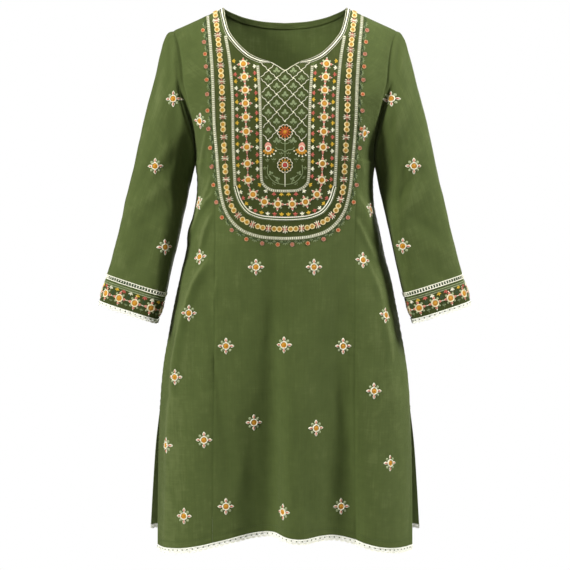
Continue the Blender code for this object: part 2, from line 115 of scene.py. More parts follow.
# %% [markdown]
# ## Curves
#
# Everything here is drawn from short tables, as on a paper pattern. A cubic piece
# between each two table rows keeps the curve smooth and never lets it swing past them.

# %% Curves through tables
def metres(*rows):
    """A table written in millimetres, as an array in metres."""
    return np.array(rows, float) / 1000


def stack(*parts):
    """Arrays, stretched to one shape, as the last axis of one array."""
    return np.stack(np.broadcast_arrays(*parts), axis=-1)


def smooth(places, values, at):
    """Cubic pieces through the points, whose slope at a point is the harmonic mean of
    the slopes beside it, or nothing where those have different signs."""
    order = np.argsort(places)
    x, y = places[order], values[order]
    step = np.diff(x)
    slope = np.diff(y) / step
    same = slope[:-1] * slope[1:] > 0
    total = np.where(same, slope[:-1] + slope[1:], 1.0)
    inner = np.where(same, 2 * slope[:-1] * slope[1:] / total, 0.0)
    tangent = np.concatenate([slope[:1], inner, slope[-1:]])
    at = np.clip(at, x[0], x[-1])
    i = np.clip(np.searchsorted(x, at, side="right") - 1, 0, len(step) - 1)
    u = (at - x[i]) / step[i]
    return (
        y[i] * (1 + 2 * u) * (1 - u) ** 2
        + step[i] * tangent[i] * u * (1 - u) ** 2
        + y[i + 1] * u**2 * (3 - 2 * u)
        + step[i] * tangent[i + 1] * u**2 * (u - 1)
    )


def look_up(table, at, column=1):
    """A column of a table, read smoothly at values of the first column."""
    return smooth(table[:, 0], table[:, column], at)


def lengths(points):
    """Distance from the first point to each, measured along the chords."""
    steps = np.linalg.norm(np.diff(points, axis=0), axis=-1)
    return np.concatenate([np.zeros_like(steps[:1]), np.cumsum(steps, axis=0)])


def lengths_across(grid):
    """Distance of each point of a grid from the first one of its row."""
    return lengths(grid.transpose(1, 0, 2)).T


def along(points, share):
    """Points of a smooth path at shares of its length."""
    length = lengths(points)
    return stack(*(smooth(length / length[-1], values, share) for values in points.T))


def ease(x):
    """Rises from 0 to 1 with level ends: three squares less two cubes."""
    x = np.clip(x, 0, 1)
    return x * x * (3 - 2 * x)


def bell(x):
    """The bell curve, e to the minus square."""
    return np.exp(-(x**2))


def unit(vectors):
    return vectors / np.linalg.norm(vectors, axis=-1, keepdims=True)


def crowded(count, near=0.0, far=0.0):
    """Shares from 0 to 1, whose steps shrink towards the start by `near` and towards
    the end by `far`, so that a seam or a hem has rows of points close to it."""
    middle = (np.arange(count) + 0.5) / count
    step = 1 - near * bell(middle / 0.16) - far * bell((1 - middle) / 0.16)
    return np.concatenate([[0], np.cumsum(step)]) / step.sum()


quarter = along(metres((0, 1000), (707, 707), (1000, 0)), 0.5)
print("halfway along a quarter circle:", np.round(quarter, 2))

# %% [markdown]
# ## The cut
#
# A princess-seamed kurta is two front side panels, a centre front, a back and two
# sleeves. These tables hold its sizes, in millimetres where `metres` reads them. The body
# flares from a narrow waist, is slit at the sides, and the skirt falls in a few broad folds.

# %% Sizes of the garment
CLOTH, TRIM, SEAM_GAP = 0.0009, 0.0008, 0.0003
UNDERARM, SLIT_TOP, FRONT_HEM, BACK_HEM = -0.274, -0.705, -0.945, -0.929
HEM_RISE, HEM_RISE_TOP, HEM_RISE_BEND = 0.027, -0.605, 1.5
FOLD_DROP, FOLD_REACH, ARM_BEND = 0.26, 8, 3
SEAM_X, SEAM_X_TOP = 0.121, 0.136
NECK_BAND, NECK_FACING, HEM_LACE, CUFF_LACE = 0.0085, 0.011, 0.008, 0.007
CUFF_BORDER, CUFF_BRAID = 0.049, 0.007
NOTCH_ARM, CORNER_ARM = 0.36, 0.43
ARM_WIDTH, ARM_RISE = 0.222, 0.150
CAP_SHARE, INNER_LAG = 0.40, 1.8
BODY = metres(  # height, half width, depth of the front, depth of the back
    (-274, 158.4, 112, 104), (-304, 155.4, 111, 101), (-340, 157.3, 109, 96), (-393, 168, 108, 92),
    (-437, 177, 110, 94), (-491, 190.1, 113, 101), (-539, 200, 115, 107), (-589, 208.8, 117, 112),
    (-642, 216.4, 119, 115), (-705, 222.4, 121, 117),
)
FRONT_FLAP = metres(  # thousandths below the slit's top, half width, depth of edge, of middle
    (0, 222.4, 0, 121), (330, 224.6, 17, 122), (680, 224.4, 35, 123), (1000, 223.6, 50, 124),
)
BACK_FLAP = metres(
    (0, 222.4, 0, 117), (330, 232.8, 24, 117), (680, 239.8, 43, 117), (1000, 245, 56, 117),
)
ARMHOLE = metres(  # half width, height
    (158.4, -274), (158, -259.2), (158.7, -237.3), (161.4, -213.7), (170.2, -171.1),
    (178.3, -132.7), (180.5, -109.6), (186.9, -70), (197.5, -40.5),
)
SHOULDER = metres((108, 0), (197.5, -40.5))
NOTCH = (0.0, -0.1201)
NECKLINE = metres(
    (25.3, -105), (39.6, -100.7), (58.7, -91.8), (73.1, -79.5), (85.8, -64.8), (97, -46.7),
    (103, -25), (108, 0),
)
BACK_NECKLINE = metres(
    (0, -17.9), (34.4, -16.3), (70.3, -11), (92, -5), (108, 0),
)
BUST = SimpleNamespace(x=0.080, z=-0.238, wide=0.056, high=0.066, depth=0.010)
FRONT_FOLDS = metres(  # place at hem, at top, height of top, left width, right width, depth
    (-160, -150, -380, 55, 50, 17), (-40, -30, -340, 60, 34, -22), (22, 16, -400, 40, 42, 13),
    (98, 102, -360, 50, 30, -20), (162, 150, -400, 40, 55, 17),
)
BACK_FOLDS = metres(
    (-176, -150, -420, 44, 50, 14), (-92, -80, -400, 46, 36, -26), (-12, -10, -440, 44, 52, 12),
    (78, 70, -420, 42, 38, -25), (162, 140, -420, 46, 50, 14),
)
SLEEVE_INNER = metres(  # half width, height
    (158.4, -274), (176, -357.4), (192.1, -428.5), (207.9, -499.5), (223.6, -550.1),
)
SLEEVE_OUTER = metres(
    (197.5, -40.5), (205.6, -44.2), (212.4, -54.8), (218.5, -73.4), (228.2, -108.7), (237.7, -149),
    (259.2, -241.4), (281, -336.4), (306.9, -440.9), (328.5, -517.8),
)
SLEEVE_DEPTH = metres(  # thousandths of the length, half its depth, how far forward it lies
    (0, 50, 0), (250, 56, 0), (550, 55, 3), (800, 50, 7), (1000, 47, 10),
)
print("tables:", len(BODY), "body rows,", len(FRONT_FOLDS), "front folds")

# %% Fineness of the grids
ROWS_SLIT, ROWS_SIDE, ROWS_MIDDLE, ROWS_NOTCH, ROWS_NECK = 58, 100, 34, 6, 36
INNER_COLUMNS, SIDE_COLUMNS, SLEEVE_RINGS = 32, 38, 118
ARM_START = ROWS_SLIT + ROWS_SIDE
NOTCH_ROW = ARM_START + ROWS_MIDDLE
DENSE = 0.75

FRONT = SimpleNamespace(
    side=-1, depth=2, flap=FRONT_FLAP, hem=FRONT_HEM, folds=FRONT_FOLDS, turn=0.60,
    inner_x=SEAM_X,
)
BACK = SimpleNamespace(
    side=1, depth=3, flap=BACK_FLAP, hem=BACK_HEM, folds=BACK_FOLDS, turn=0.45,
    inner_x=SEAM_X * SHOULDER[0, 0] / SEAM_X_TOP,
)
HALVES = {"front": FRONT, "back": BACK}
MIRROR = {"left": -1, "right": 1}
low = np.linspace(0, NOTCH_ARM, ROWS_MIDDLE + 1)
notch = np.linspace(NOTCH_ARM, CORNER_ARM, ROWS_NOTCH + 1)[1:]
high = CORNER_ARM + (1 - CORNER_ARM) * crowded(ROWS_NECK, far=DENSE)[1:]
ARM_SHARES = np.concatenate([low, notch, high])
print("a half has", ARM_START + len(ARM_SHARES), "rows and", INNER_COLUMNS + SIDE_COLUMNS + 1, "columns")

# %% [markdown]
# ## The body as a surface
#
# Each half of the front or back is a grid: rows climb from hem to shoulder, columns run
# from the middle to the side. Up to the underarm a row is part of an ellipse. Above it
# the chest flattens and turns over the shoulder. The folds are bells that widen and
# deepen on the way down.

# %% Folds and bust
def fold_height(panel, x, z):
    """Sum of the folds: each is a bell across, with its own width on each side, that
    drifts from its top place to its hem place and grows on the way down."""
    total = np.zeros_like(z)
    for hem_x, top_x, top_z, left, right, depth in panel.folds:
        down = np.clip((top_z - z) / (top_z - panel.hem), 0, 1)
        off = x - (top_x + (hem_x - top_x) * down)
        total += depth * ease(down) * bell(off / np.where(off < 0, left, right))
    return total


def bust_height(panel, x, z):
    """Two broad soft mounds that the bust darts give the front."""
    if panel.side > 0:
        return np.zeros_like(z)
    return BUST.depth * bell((np.abs(x) - BUST.x) / BUST.wide) * bell((z - BUST.z) / BUST.high)


# %% From hem to underarm
def lower_half(panel, mirror):
    """Rows from hem to underarm. The angle runs from the middle to the panel's edge: the
    half width times its sine is the place across, and its cosine gives the depth."""
    flap = 1 - crowded(ROWS_SLIT, near=DENSE)[:-1]
    z = np.concatenate([
        SLIT_TOP + flap * (panel.hem - SLIT_TOP),
        np.linspace(SLIT_TOP, UNDERARM, ROWS_SIDE + 1),
    ])
    above = z[len(flap):]
    width = np.concatenate([look_up(panel.flap, flap), look_up(BODY, above)])
    edge = np.concatenate([look_up(panel.flap, flap, 2), np.zeros(len(above))])
    middle = np.concatenate([look_up(panel.flap, flap, 3), look_up(BODY, above, panel.depth)])
    turn = np.arccos(edge / middle)
    seam = np.arcsin(panel.inner_x / width * np.sin(turn))
    inner = seam[:, None] * crowded(INNER_COLUMNS, far=DENSE)
    outer = seam[:, None] + (turn - seam)[:, None] * crowded(SIDE_COLUMNS, DENSE, DENSE)[1:]
    angle = np.concatenate([inner, outer], axis=1)
    x = mirror * width[:, None] * np.sin(angle) / np.sin(turn)[:, None]
    round_off = (1 - np.cos(angle)) / (1 - np.cos(turn))[:, None]
    depth = middle[:, None] + (edge - middle)[:, None] * round_off
    rise = HEM_RISE * ease((HEM_RISE_TOP - z) / (HEM_RISE_TOP - panel.hem))
    inside = np.clip(1 - (x / width[:, None]) ** 2, 0, 1)
    height = z[:, None] + rise[:, None] * inside**HEM_RISE_BEND
    fold = fold_height(panel, x, height) * (1 - (angle / turn[:, None]) ** FOLD_REACH)
    height = height - FOLD_DROP * fold
    out = fold + bust_height(panel, x, height)
    depth = panel.side * (depth + out * np.cos(angle))
    return stack(x + mirror * out * np.sin(angle), depth, height)


# %% From underarm to shoulder
def shoulder_height(x):
    """The straight shoulder seam, carried on inside the neck by a parabola."""
    (neck_x, neck_z), (tip_x, tip_z) = SHOULDER
    slope = (tip_z - neck_z) / (tip_x - neck_x)
    inside = neck_z + slope * (x**2 - neck_x**2) / (2 * neck_x)
    return np.where(x < neck_x, inside, neck_z + slope * (x - neck_x))


def chest_depth(panel, x, z):
    """The underarm's depth, times a curve that turns over the shoulder, times the
    rounding towards the arm."""
    up = (z - UNDERARM) / (shoulder_height(np.abs(x)) - UNDERARM)
    over = (1 - np.clip(up, 0, 1) ** 2) ** panel.turn
    half = BODY[0, 1] + (ARM_WIDTH - BODY[0, 1]) * ease((z - UNDERARM) / ARM_RISE)
    return BODY[0, panel.depth] * over * np.sqrt(np.clip(1 - (x / half) ** 2, 0, 1))


def seam_x(z):
    """Half width of the princess seam: straight to the bust, then out to the shoulder."""
    return SEAM_X + (SEAM_X_TOP - SEAM_X) * ease((z - UNDERARM) / -UNDERARM)


def front_upper(start):
    """Rows that run straight from the middle or the neckline to the armhole. One column
    follows the princess seam."""
    arm = along(ARMHOLE, ARM_SHARES)
    neck = along(NECKLINE, crowded(ROWS_NECK, far=DENSE))
    first = np.concatenate([
        np.linspace((0, UNDERARM), NOTCH, ROWS_MIDDLE + 1),
        np.linspace(NOTCH, NECKLINE[0], ROWS_NOTCH + 1)[1:-1],
        neck,
    ])
    reach = arm - first
    share = start[:, 0] / start[-1, 0]
    seam = np.full(len(first), share[INNER_COLUMNS])
    for _ in range(4):
        seam = (seam_x(first[:, 1] + reach[:, 1] * seam) - first[:, 0]) / reach[:, 0]
    inner = seam[:, None] * (share[: INNER_COLUMNS + 1] / share[INNER_COLUMNS])
    curved = (share[INNER_COLUMNS + 1:] - share[INNER_COLUMNS]) / (1 - share[INNER_COLUMNS])
    even = crowded(SIDE_COLUMNS, DENSE, DENSE)[1:]
    mix = ease(ARM_SHARES / CORNER_ARM)[:, None]
    side = seam[:, None] + (1 - seam)[:, None] * (curved + (even - curved) * mix)
    across = np.concatenate([inner, side], axis=1)
    return (first[:, None] + reach[:, None] * across[..., None])[1:]


def back_upper(start):
    """Columns that run straight from the underarm's row to the neckline or the shoulder
    seam. Those near the arm bend with the armhole."""
    neck = along(BACK_NECKLINE, start[: INNER_COLUMNS + 1, 0] / start[INNER_COLUMNS, 0])
    reach = (start[INNER_COLUMNS:, 0] - start[INNER_COLUMNS, 0]) / np.ptp(start[INNER_COLUMNS:, 0])
    x = SHOULDER[0, 0] + (SHOULDER[1, 0] - SHOULDER[0, 0]) * reach[1:]
    top = np.vstack([neck, stack(x, shoulder_height(x))])
    arm = along(ARMHOLE, ARM_SHARES)
    level = ARM_SHARES[:, None, None]
    flat = start + (top - start) * level
    bend = (np.arange(len(top)) / (len(top) - 1)) ** ARM_BEND
    return (flat + bend[:, None] * (arm - flat[:, -1])[:, None])[1:]


def half_grid(panel, side):
    """Half of a panel, from hem to top, with columns from the middle to the side."""
    mirror = MIRROR[side]
    rows = lower_half(panel, mirror)
    start = stack(np.abs(rows[-1, :, 0]), rows[-1, :, 2])
    flat = front_upper(start) if panel.side < 0 else back_upper(start)
    x, z = flat[..., 0], flat[..., 1]
    arm_side = (np.arange(x.shape[1]) / (x.shape[1] - 1)) ** ARM_BEND
    depth = chest_depth(panel, x, z) + bust_height(panel, x, z) * (1 - arm_side)
    return np.concatenate([rows, stack(mirror * x, panel.side * depth, z)])


def grid_normals(grid, outward, closed=False):
    """Unit normals: the cross product of the steps across and along the grid."""
    if closed:
        across = np.roll(grid, -1, axis=1) - np.roll(grid, 1, axis=1)
    else:
        across = np.gradient(grid, axis=1)
    normal = unit(np.cross(across, np.gradient(grid, axis=0)) + 1e-12)
    return -normal if np.sum(normal * outward, axis=-1).mean() < 0 else normal


plain = {(name, side): half_grid(HALVES[name], side) for name in HALVES for side in MIRROR}
print("half grids:", {key: grid.shape[:2] for key, grid in plain.items()})

# %% [markdown]
# ## Creases
#
# Worn cotton is never smooth. The long drapes, the pulls from bust to underarm and the bends of the sleeves
# are listed one by one as soft ridges and troughs, each with its own length, width and height, and fine
# rumples come from two layers of lattice noise. Near a seam both fade out, so that the pieces still meet.

# %% Creases listed one by one
FRONT.drapes = [  # rows of height, place, height of the ridge, its left and right reach
    metres((-380, -18, 0, 20, 10), (-480, -18, -3.6, 26, 11), (-600, -19, -5.6, 32, 14),
           (-770, -22, -7.8, 36, 18), (-945, -28, -8.4, 38, 20)),
    metres((-385, 114, 0, 20, 6), (-470, 112, -2.8, 24, 7), (-600, 109, -4.5, 30, 11),
           (-770, 111, -6.2, 34, 14), (-945, 121, -7, 36, 16)),
    metres((-430, -116, 0, 8, 20), (-500, -158, 5.2, 8, 18), (-600, -180, 7, 8, 18),
           (-740, -194, 7.6, 9, 18), (-945, -205, 6, 10, 20)),
    metres((-440, -120, 0, 14, 8), (-560, -128, -3, 18, 8), (-690, -112, -4.2, 22, 9),
           (-800, -100, -3, 22, 10), (-900, -100, 0, 20, 10)),
    metres((-420, 126, 0, 16, 7), (-500, 150, 3.4, 18, 8), (-600, 170, 4.2, 20, 8),
           (-700, 190, 3.4, 20, 9), (-860, 204, 0, 20, 10)),
    metres((-600, 30, 0, 18, 10), (-760, 40, -2.2, 22, 10), (-945, 48, -4, 24, 12)),
]
BACK.drapes = [
    metres((-360, -82, 0, 18, 10), (-520, -86, -5, 24, 12), (-700, -94, -8.5, 30, 14),
           (-930, -104, -10, 32, 18)),
    metres((-400, 60, 0, 10, 20), (-560, 60, -4.5, 11, 26), (-740, 66, -8, 14, 32),
           (-930, 72, -9.5, 16, 36)),
    metres((-430, -140, 0, 10, 20), (-560, -172, 4.4, 9, 22), (-930, -216, 4, 10, 24)),
    metres((-450, 130, 0, 20, 10), (-600, 168, 4, 22, 9), (-930, 214, 3.6, 24, 11)),
    metres((-540, -20, 0, 18, 12), (-720, -26, -4, 22, 12), (-930, -30, -5, 26, 14)),
]
FRONT.creases = metres(  # x and z of both ends, width, height; below zero is a trough
    (122, -345, 150, -398, 6, 2.6), (128, -372, 160, -432, 6, -2.4), (-180, -60, -130, -84, 5, -1),
    (-176, -80, -134, -94, 4, 1), (136, -66, 176, -86, 5, 0.9), (-130, -440, -161, -500, 11, 2.2),
    (-161, -500, -176, -560, 10, 3), (-176, -560, -188, -655, 10, 3.2),
    (-188, -655, -196, -780, 10, 2.8), (-196, -780, -203, -910, 13, 2.2),
    (-186, -475, -203, -640, 10, -2.2), (-128, -580, -139, -680, 12, 1.8),
    (-142, -690, -160, -820, 15, 2.2), (-148, -540, -166, -700, 13, -1.8),
    (-30, -470, -25, -640, 11, -3), (-25, -640, -24, -800, 13, -4.4),
    (-24, -780, -26, -930, 15, -4.4), (-92, -700, -80, -780, 16, 1.6),
    (-78, -780, -74, -850, 12, 1.8), (90, -480, 88, -640, 12, -2.2),
    (90, -640, 106, -780, 13, -3.4), (106, -780, 116, -930, 16, -3.4),
    (142, -470, 166, -530, 12, 2.2), (166, -530, 183, -620, 10, 2.6),
    (183, -620, 200, -720, 11, 2.2), (128, -520, 146, -640, 12, -1.4),
    (150, -740, 176, -880, 18, 1.8), (52, -760, 62, -880, 18, 1.4),
    (-136, -240, -128, -300, 7, 1.6), (-146, -235, -139, -285, 6, -1.4),
    (128, -240, 140, -300, 8, -1.4), (124, -330, 138, -400, 10, 1.8),
    (134, -380, 152, -440, 9, -1.6), (-150, -100, -165, -150, 9, 1.2),
    (148, -110, 160, -170, 10, 1.2),
)
FRONT.pulls = metres(  # x and z of both ends, reach to the left, reach to the right, height
    (-136, -222, -150, -300, 7, 4, 4.2), (-128, -296, -141, -345, 6, 3.5, 3.8),
    (-124, -326, -158, -375, 9, 4.5, 6.2), (-152, -366, -170, -420, 8, 4.5, 5),
    (-127, -362, -150, -432, 10, 4.5, 6), (-136, -445, -168, -520, 12, 6, 6.2),
    (-160, -500, -188, -590, 12, 7, 6), (-184, -570, -198, -680, 10, 8, 5),
    (-196, -660, -205, -800, 9, 9, 4.2), (-118, -470, -126, -540, 9, 5, 2.6),
    (126, -330, 150, -385, 4.5, 9, 4), (122, -372, 158, -445, 5, 10, 4.4),
    (140, -440, 172, -530, 6, 12, 4.2), (166, -520, 188, -630, 7, 12, 4),
    (128, -250, 140, -305, 4, 7, 2.6),
)
BACK.pulls = metres(
    (-134, -300, -158, -380, 8, 4.5, 4), (-128, -370, -164, -460, 10, 5, 5),
    (-150, -470, -186, -600, 12, 7, 4.6), (132, -320, 156, -390, 4.5, 9, 4.2),
    (126, -400, 168, -490, 5.5, 11, 4.6), (158, -500, 190, -640, 7, 12, 4),
)
BACK.creases = metres(
    (-150, -220, -120, -290, 11, -2), (148, -210, 112, -300, 12, 2.2),
    (-60, -330, 50, -352, 12, 1.8), (-40, -372, 80, -365, 10, -1.6),
    (-100, -395, -10, -405, 13, 1.4), (-166, -480, -190, -640, 11, 2.6),
    (-190, -640, -206, -860, 13, 2.4), (-108, -520, -106, -700, 12, -2.6),
    (-106, -700, -112, -900, 15, -3.6), (66, -500, 62, -660, 12, -2.4),
    (62, -660, 60, -900, 15, -3.6), (162, -500, 192, -680, 12, 2.4),
    (-20, -620, -36, -800, 18, 1.6), (130, -740, 142, -890, 16, 1.8),
    (-130, -80, -142, -190, 12, 1.4), (120, -90, 140, -200, 12, -1.2),
)
print("long folds:", len(FRONT.drapes), "on the front,", len(BACK.drapes), "on the back")
print("creases:", len(FRONT.creases), "on the front,", len(BACK.creases), "on the back")

# %% Forms of creases
SOFT_EDGE = 0.2
# Half width of the painted highlight on a pull's crest, its strength, how it fades towards the ends, and the
# pull height that gets all of it.
CREST, CREST_HIGHLIGHT, CREST_FADE, PULL_HIGH = 0.0022, 1.1, 0.6, 0.0037
FLANK_PLACE, FLANK_WIDE = 1.1, 0.9  # place and width of the painted shade band, in reaches of a pull's steep side


def drawn(off, left, right):
    """Across a fold that is drawn sharp: e to the minus distance over the reach on its
    side, a little rounded on top."""
    return np.exp(SOFT_EDGE - np.hypot(off / np.where(off < 0, left, right), SOFT_EDGE))


def by_segment(x, z, x0, z0, x1, z1):
    """The share of a segment's length that lies before each place, how far the place lies
    to its side, and how far past its ends."""
    size = np.hypot(x1 - x0, z1 - z0)
    share = ((x - x0) * (x1 - x0) + (z - z0) * (z1 - z0)) / size**2
    inside = np.clip(share, 0, 1)
    return inside, ((z - z0) * (x1 - x0) - (x - x0) * (z1 - z0)) / size, (share - inside) * size


def creases(table, x, z):
    """Sum of bells across straight segments. Each is highest at its middle and a third
    as high at its ends, and past them it fades with the distance."""
    total = np.zeros_like(x)
    for *ends, width, height in table:
        share, off, past = by_segment(x, z, *ends)
        total += height * (1 + 2 * np.sin(np.pi * share)) / 3 * bell(np.hypot(off, past) / width)
    return total


def pulls(table, x, z):
    """Ridges drawn tight along straight segments, with one steep flank. The first sum is their height, which
    follows the sine of pi times the share of the length. The second is painted light and shade: a painted
    highlight on each crest, and painted shade in a band down its steep flank."""
    relief, painted_light_and_wear = np.zeros((2, *x.shape))
    for *ends, left, right, height in table:
        share, off, _ = by_segment(x, z, *ends)
        rise, flank = np.sin(np.pi * share), np.sign(left - right)
        relief += height * rise * drawn(off, left, right)
        band = bell((flank * off / min(left, right) - FLANK_PLACE) / FLANK_WIDE) * abs(flank)
        painted_light_and_wear += rise**CREST_FADE * height / PULL_HIGH * (CREST_HIGHLIGHT * bell(off / CREST) - band)
    return relief, painted_light_and_wear


def drapes(table, x, z):
    """Sum of long folds, each drawn sharp along a line that wanders down the cloth."""
    total = np.zeros_like(x)
    for rows in table:
        place, height, left, right = (look_up(rows, z, k) for k in range(1, 5))
        total += height * drawn(x - place, left, right)
    return total


def lattice_noise(u, v, seed):
    """Smooth noise from -1 to 1: a fixed number at each whole u and v, and an eased
    blend between them."""
    i, j = np.floor(u), np.floor(v)
    f, g = ease(u - i), ease(v - j)

    def at(a, b):
        return 2 * np.modf(np.abs(np.sin(a * 12.9898 + b * 78.233 + seed) * 43758.5453))[0] - 1

    near = at(i, j) * (1 - f) + at(i + 1, j) * f
    return near * (1 - g) + (at(i, j + 1) * (1 - f) + at(i + 1, j + 1) * f) * g


RUMPLES = metres((34, 80, 1.5), (16, 27, 0.62), (7.5, 11, 0.22))  # across, along, height


def rumples(u, v, seed):
    """Unevenness of the cloth: noise in three sizes."""
    return sum(
        high * lattice_noise(u / wide + seed, v / long, seed + k)
        for k, (wide, long, high) in enumerate(RUMPLES)
    )


highest = max(high for _, _, high in RUMPLES)
print("rumples up to", 1000 * highest, "mm high")

# %% The body with its creases
SEAM_DIP, SEAM_REACH = 0.0007, 0.0022
ARM_DIP, ARM_DIP_REACH = 0.0022, 0.0034  # the armhole seam lies deeper
QUIET = 0.016
PUCKER, PUCKER_PEAK, PUCKER_WAVE = 0.00060, 0.004, 0.0021
PAINTED_LIGHT_RELIEF = 0.006  # relief whose painted light is half as pale as a crest's painted highlight
# Painted shade lines at the hem's and the slits' fold: distance from the edge, width and darkness.
HEM_FOLD, SLIT_FOLD, FOLD_LINE, HEM_SHADE = 0.0125, 0.0100, 0.0016, 0.5
# Width and darkness of the painted shade along the princess seam.
SEAM_LINE, SEAM_SHADE = 0.0012, 1.0
painted_shading = {}  # painted light and shade: how pale the crests and how dark the troughs are painted


def edge_quiet(distance):
    """Nothing at an edge, and all of a crease from 16 mm inside it."""
    return ease(distance / QUIET)


def pucker(distance, run, seed):
    """Small waves that sewing draws in across a seam, of uneven length, strongest 4 mm
    from the stitches and gone after about 15 mm."""
    wave = np.sin(run / PUCKER_WAVE + 2.4 * lattice_noise(run / 0.03, run * 0, seed))
    strength = 0.5 + 0.5 * lattice_noise(run / 0.055, run * 0 + 1, seed)
    away = distance / PUCKER_PEAK
    return PUCKER * strength * wave * away * np.exp(1 - away)


def dip_share(share):
    """How deep the armhole seam lies up the armhole: less at the underarm and on top."""
    return ease(share / 0.05) * (1 - 0.75 * ease((share - 0.86) / 0.12))


def creased_half(name, side):
    """A half grid moved along its normals by creases and rumples, and drawn in at the princess seam and the
    edge. Its painted light and shade is kept: paler crests, darker troughs, and painted shade lines along the
    princess seam and where the hem and the slit are folded and sewn."""
    panel, mirror, grid = HALVES[name], MIRROR[side], plain[name, side]
    normal = grid_normals(grid, (0, panel.side, 0))
    x, z = grid[..., 0], grid[..., 2]
    across, up = lengths_across(grid), lengths(grid)
    to_edge = across[:, -1:] - across
    quiet = edge_quiet(to_edge) * edge_quiet(up[-1:] - up)
    move, painted_light_and_wear = pulls(panel.pulls, x, z)
    move += creases(panel.creases, x, z) + drapes(panel.drapes, x, z)
    move += rumples(mirror * across, up, 3.0 + panel.side)
    # Painted light and shade: the relief's crests are painted paler and its troughs darker, on top of the
    # pulls' painted highlights and flank shade.
    painted_light_and_wear = (painted_light_and_wear + np.clip(move / PAINTED_LIGHT_RELIEF, -1, 1) / 2) * quiet
    # Painted shade lines along the hem's and the slits' fold lines, where they are sewn.
    painted_light_and_wear -= HEM_SHADE * bell((up - HEM_FOLD) / FOLD_LINE)
    painted_light_and_wear[:ROWS_SLIT] -= HEM_SHADE * bell((to_edge[:ROWS_SLIT] - SLIT_FOLD) / FOLD_LINE)
    seed = 7.0 + mirror + 3 * panel.side
    move = move * quiet + pucker(to_edge, up, seed)
    if panel is FRONT:
        to_seam = np.abs(across - across[:, INNER_COLUMNS, None])
        # Painted shade along the princess seam.
        painted_light_and_wear -= SEAM_SHADE * bell(to_seam / SEAM_LINE)
        move += pucker(to_seam, up, seed + 2) - SEAM_DIP * bell(to_seam / SEAM_REACH)
    painted_shading[name, side] = painted_light_and_wear
    move[ROWS_SLIT:ARM_START] -= SEAM_DIP * bell(to_edge[ROWS_SLIT:ARM_START] / SEAM_REACH)
    dip = ARM_DIP * dip_share(ARM_SHARES)[:, None]
    move[ARM_START:] -= dip * bell(to_edge[ARM_START:] / ARM_DIP_REACH)
    return grid + normal * move[..., None]


def panel_normals(grid, panel):
    """Normals, turned straight out sideways along the side seam, so that front and back
    meet flush there."""
    normal = grid_normals(grid, (0, panel.side, 0))
    rows = slice(ROWS_SLIT, ARM_START + 1)
    run = np.gradient(grid[:, -1], axis=0)[rows]
    side = np.sign(grid[0, -1, 0])
    normal[rows, -1] = unit(stack(side * run[:, 2], 0, -side * run[:, 0]))
    return normal


def share_edge(first, second, edge):
    """Two half grids get the same points, halfway between theirs, along an edge."""
    body[first][edge] = body[second][edge] = (body[first][edge] + body[second][edge]) / 2


body = {key: creased_half(*key) for key in plain}
share_edge(("front", "left"), ("front", "right"), np.s_[: NOTCH_ROW + 1, 0])
share_edge(("back", "left"), ("back", "right"), np.s_[:, 0])
for side in MIRROR:
    share_edge(("front", side), ("back", side), np.s_[ROWS_SLIT: ARM_START + 1, -1])
normals = {key: panel_normals(grid, HALVES[key[0]]) for key, grid in body.items()}
moved = max(np.abs(body[key] - plain[key]).max() for key in plain)
print("creases move the body by up to", round(1000 * moved, 1), "mm")

# %% [markdown]
# ## Sleeves
#
# A sleeve is a stack of rings between its inner and outer lines. The first ring is the
# armhole itself, and over the cap the rings turn from the armhole's shape into ellipses.
# Below the elbow the cloth hangs flatter, and its inner side turns a little forward.

# %% Sleeve surfaces
SLEEVE_CREASES = {  # x and z of both ends, width, height
    "left": metres(
        (-205, -90, -222, -200, 12, 1.8), (-195, -58, -190, -120, 4, 2.2),
        (-203, -56, -199, -135, 4, -2.8), (-186, -150, -196, -240, 10, -2),
        (-190, -230, -240, -300, 11, 2.6), (-186, -262, -232, -330, 9, -2.2),
        (-196, -310, -262, -355, 11, 2.4), (-205, -350, -256, -390, 9, -2),
        (-285, -330, -250, -420, 13, 1.8), (-214, -120, -224, -215, 8, 2.6),
        (-222, -260, -262, -330, 8, -2.4), (-205, -290, -238, -345, 7, 2.6),
        (-225, -400, -275, -470, 11, -1.8), (-300, -420, -262, -480, 10, 1.6),
        (-250, -150, -256, -250, 14, 1.4),
    ),
    "right": metres(
        (206, -70, 214, -150, 12, 2.4), (201, -60, 193, -125, 4, -2.4),
        (208, -75, 203, -120, 5, 1.8), (214, -140, 196, -230, 12, 2.4),
        (186, -140, 192, -220, 9, -2.2), (240, -240, 205, -320, 11, 2.6),
        (228, -290, 196, -340, 8, -2.6), (256, -300, 214, -370, 12, 2.4),
        (204, -360, 262, -400, 10, -1.8), (222, -400, 290, -440, 12, 1.8),
        (190, -170, 198, -240, 6, 3), (214, -270, 200, -345, 7, -3), (228, -300, 208, -372, 7, 2.8),
        (246, -140, 252, -240, 14, 1.2), (230, -440, 286, -485, 10, -1.4),
    ),
}
OTHER_SIDE = {"left": "right", "right": "left"}
MIRRORED = (-1, 1, -1, 1, 1, 0.8)  # a sleeve's back has the other one's creases, softer
ARM_VALLEY, ARM_VALLEY_PLACE, ARM_VALLEY_REACH = 0.020, 0.0085, 0.0072
TUCK, TUCK_PLACE, TUCK_REACH = 0.014, 0.89, 0.12  # the inner side is flattened
FLATTER, FLAT_FROM, FLAT_OVER = 0.40, 0.30, 0.35  # of the sine and cosine, down the length
TURNED_OUT = 0.012  # below the elbow the inner side comes forward by this


def valley_share(share):
    """How deep the valley is up the armhole: nothing at the underarm, all of it a
    third of the way up, and little near the shoulder."""
    return ease(share / 0.16) * (0.12 + 0.88 * (1 - ease((share - 0.30) / 0.36)))


def round_hole(front_part, back_part=None):
    """Up the front edge of an armhole and down the back one, as one ring."""
    back_part = front_part if back_part is None else back_part
    return np.concatenate([front_part, back_part[-2:0:-1]])


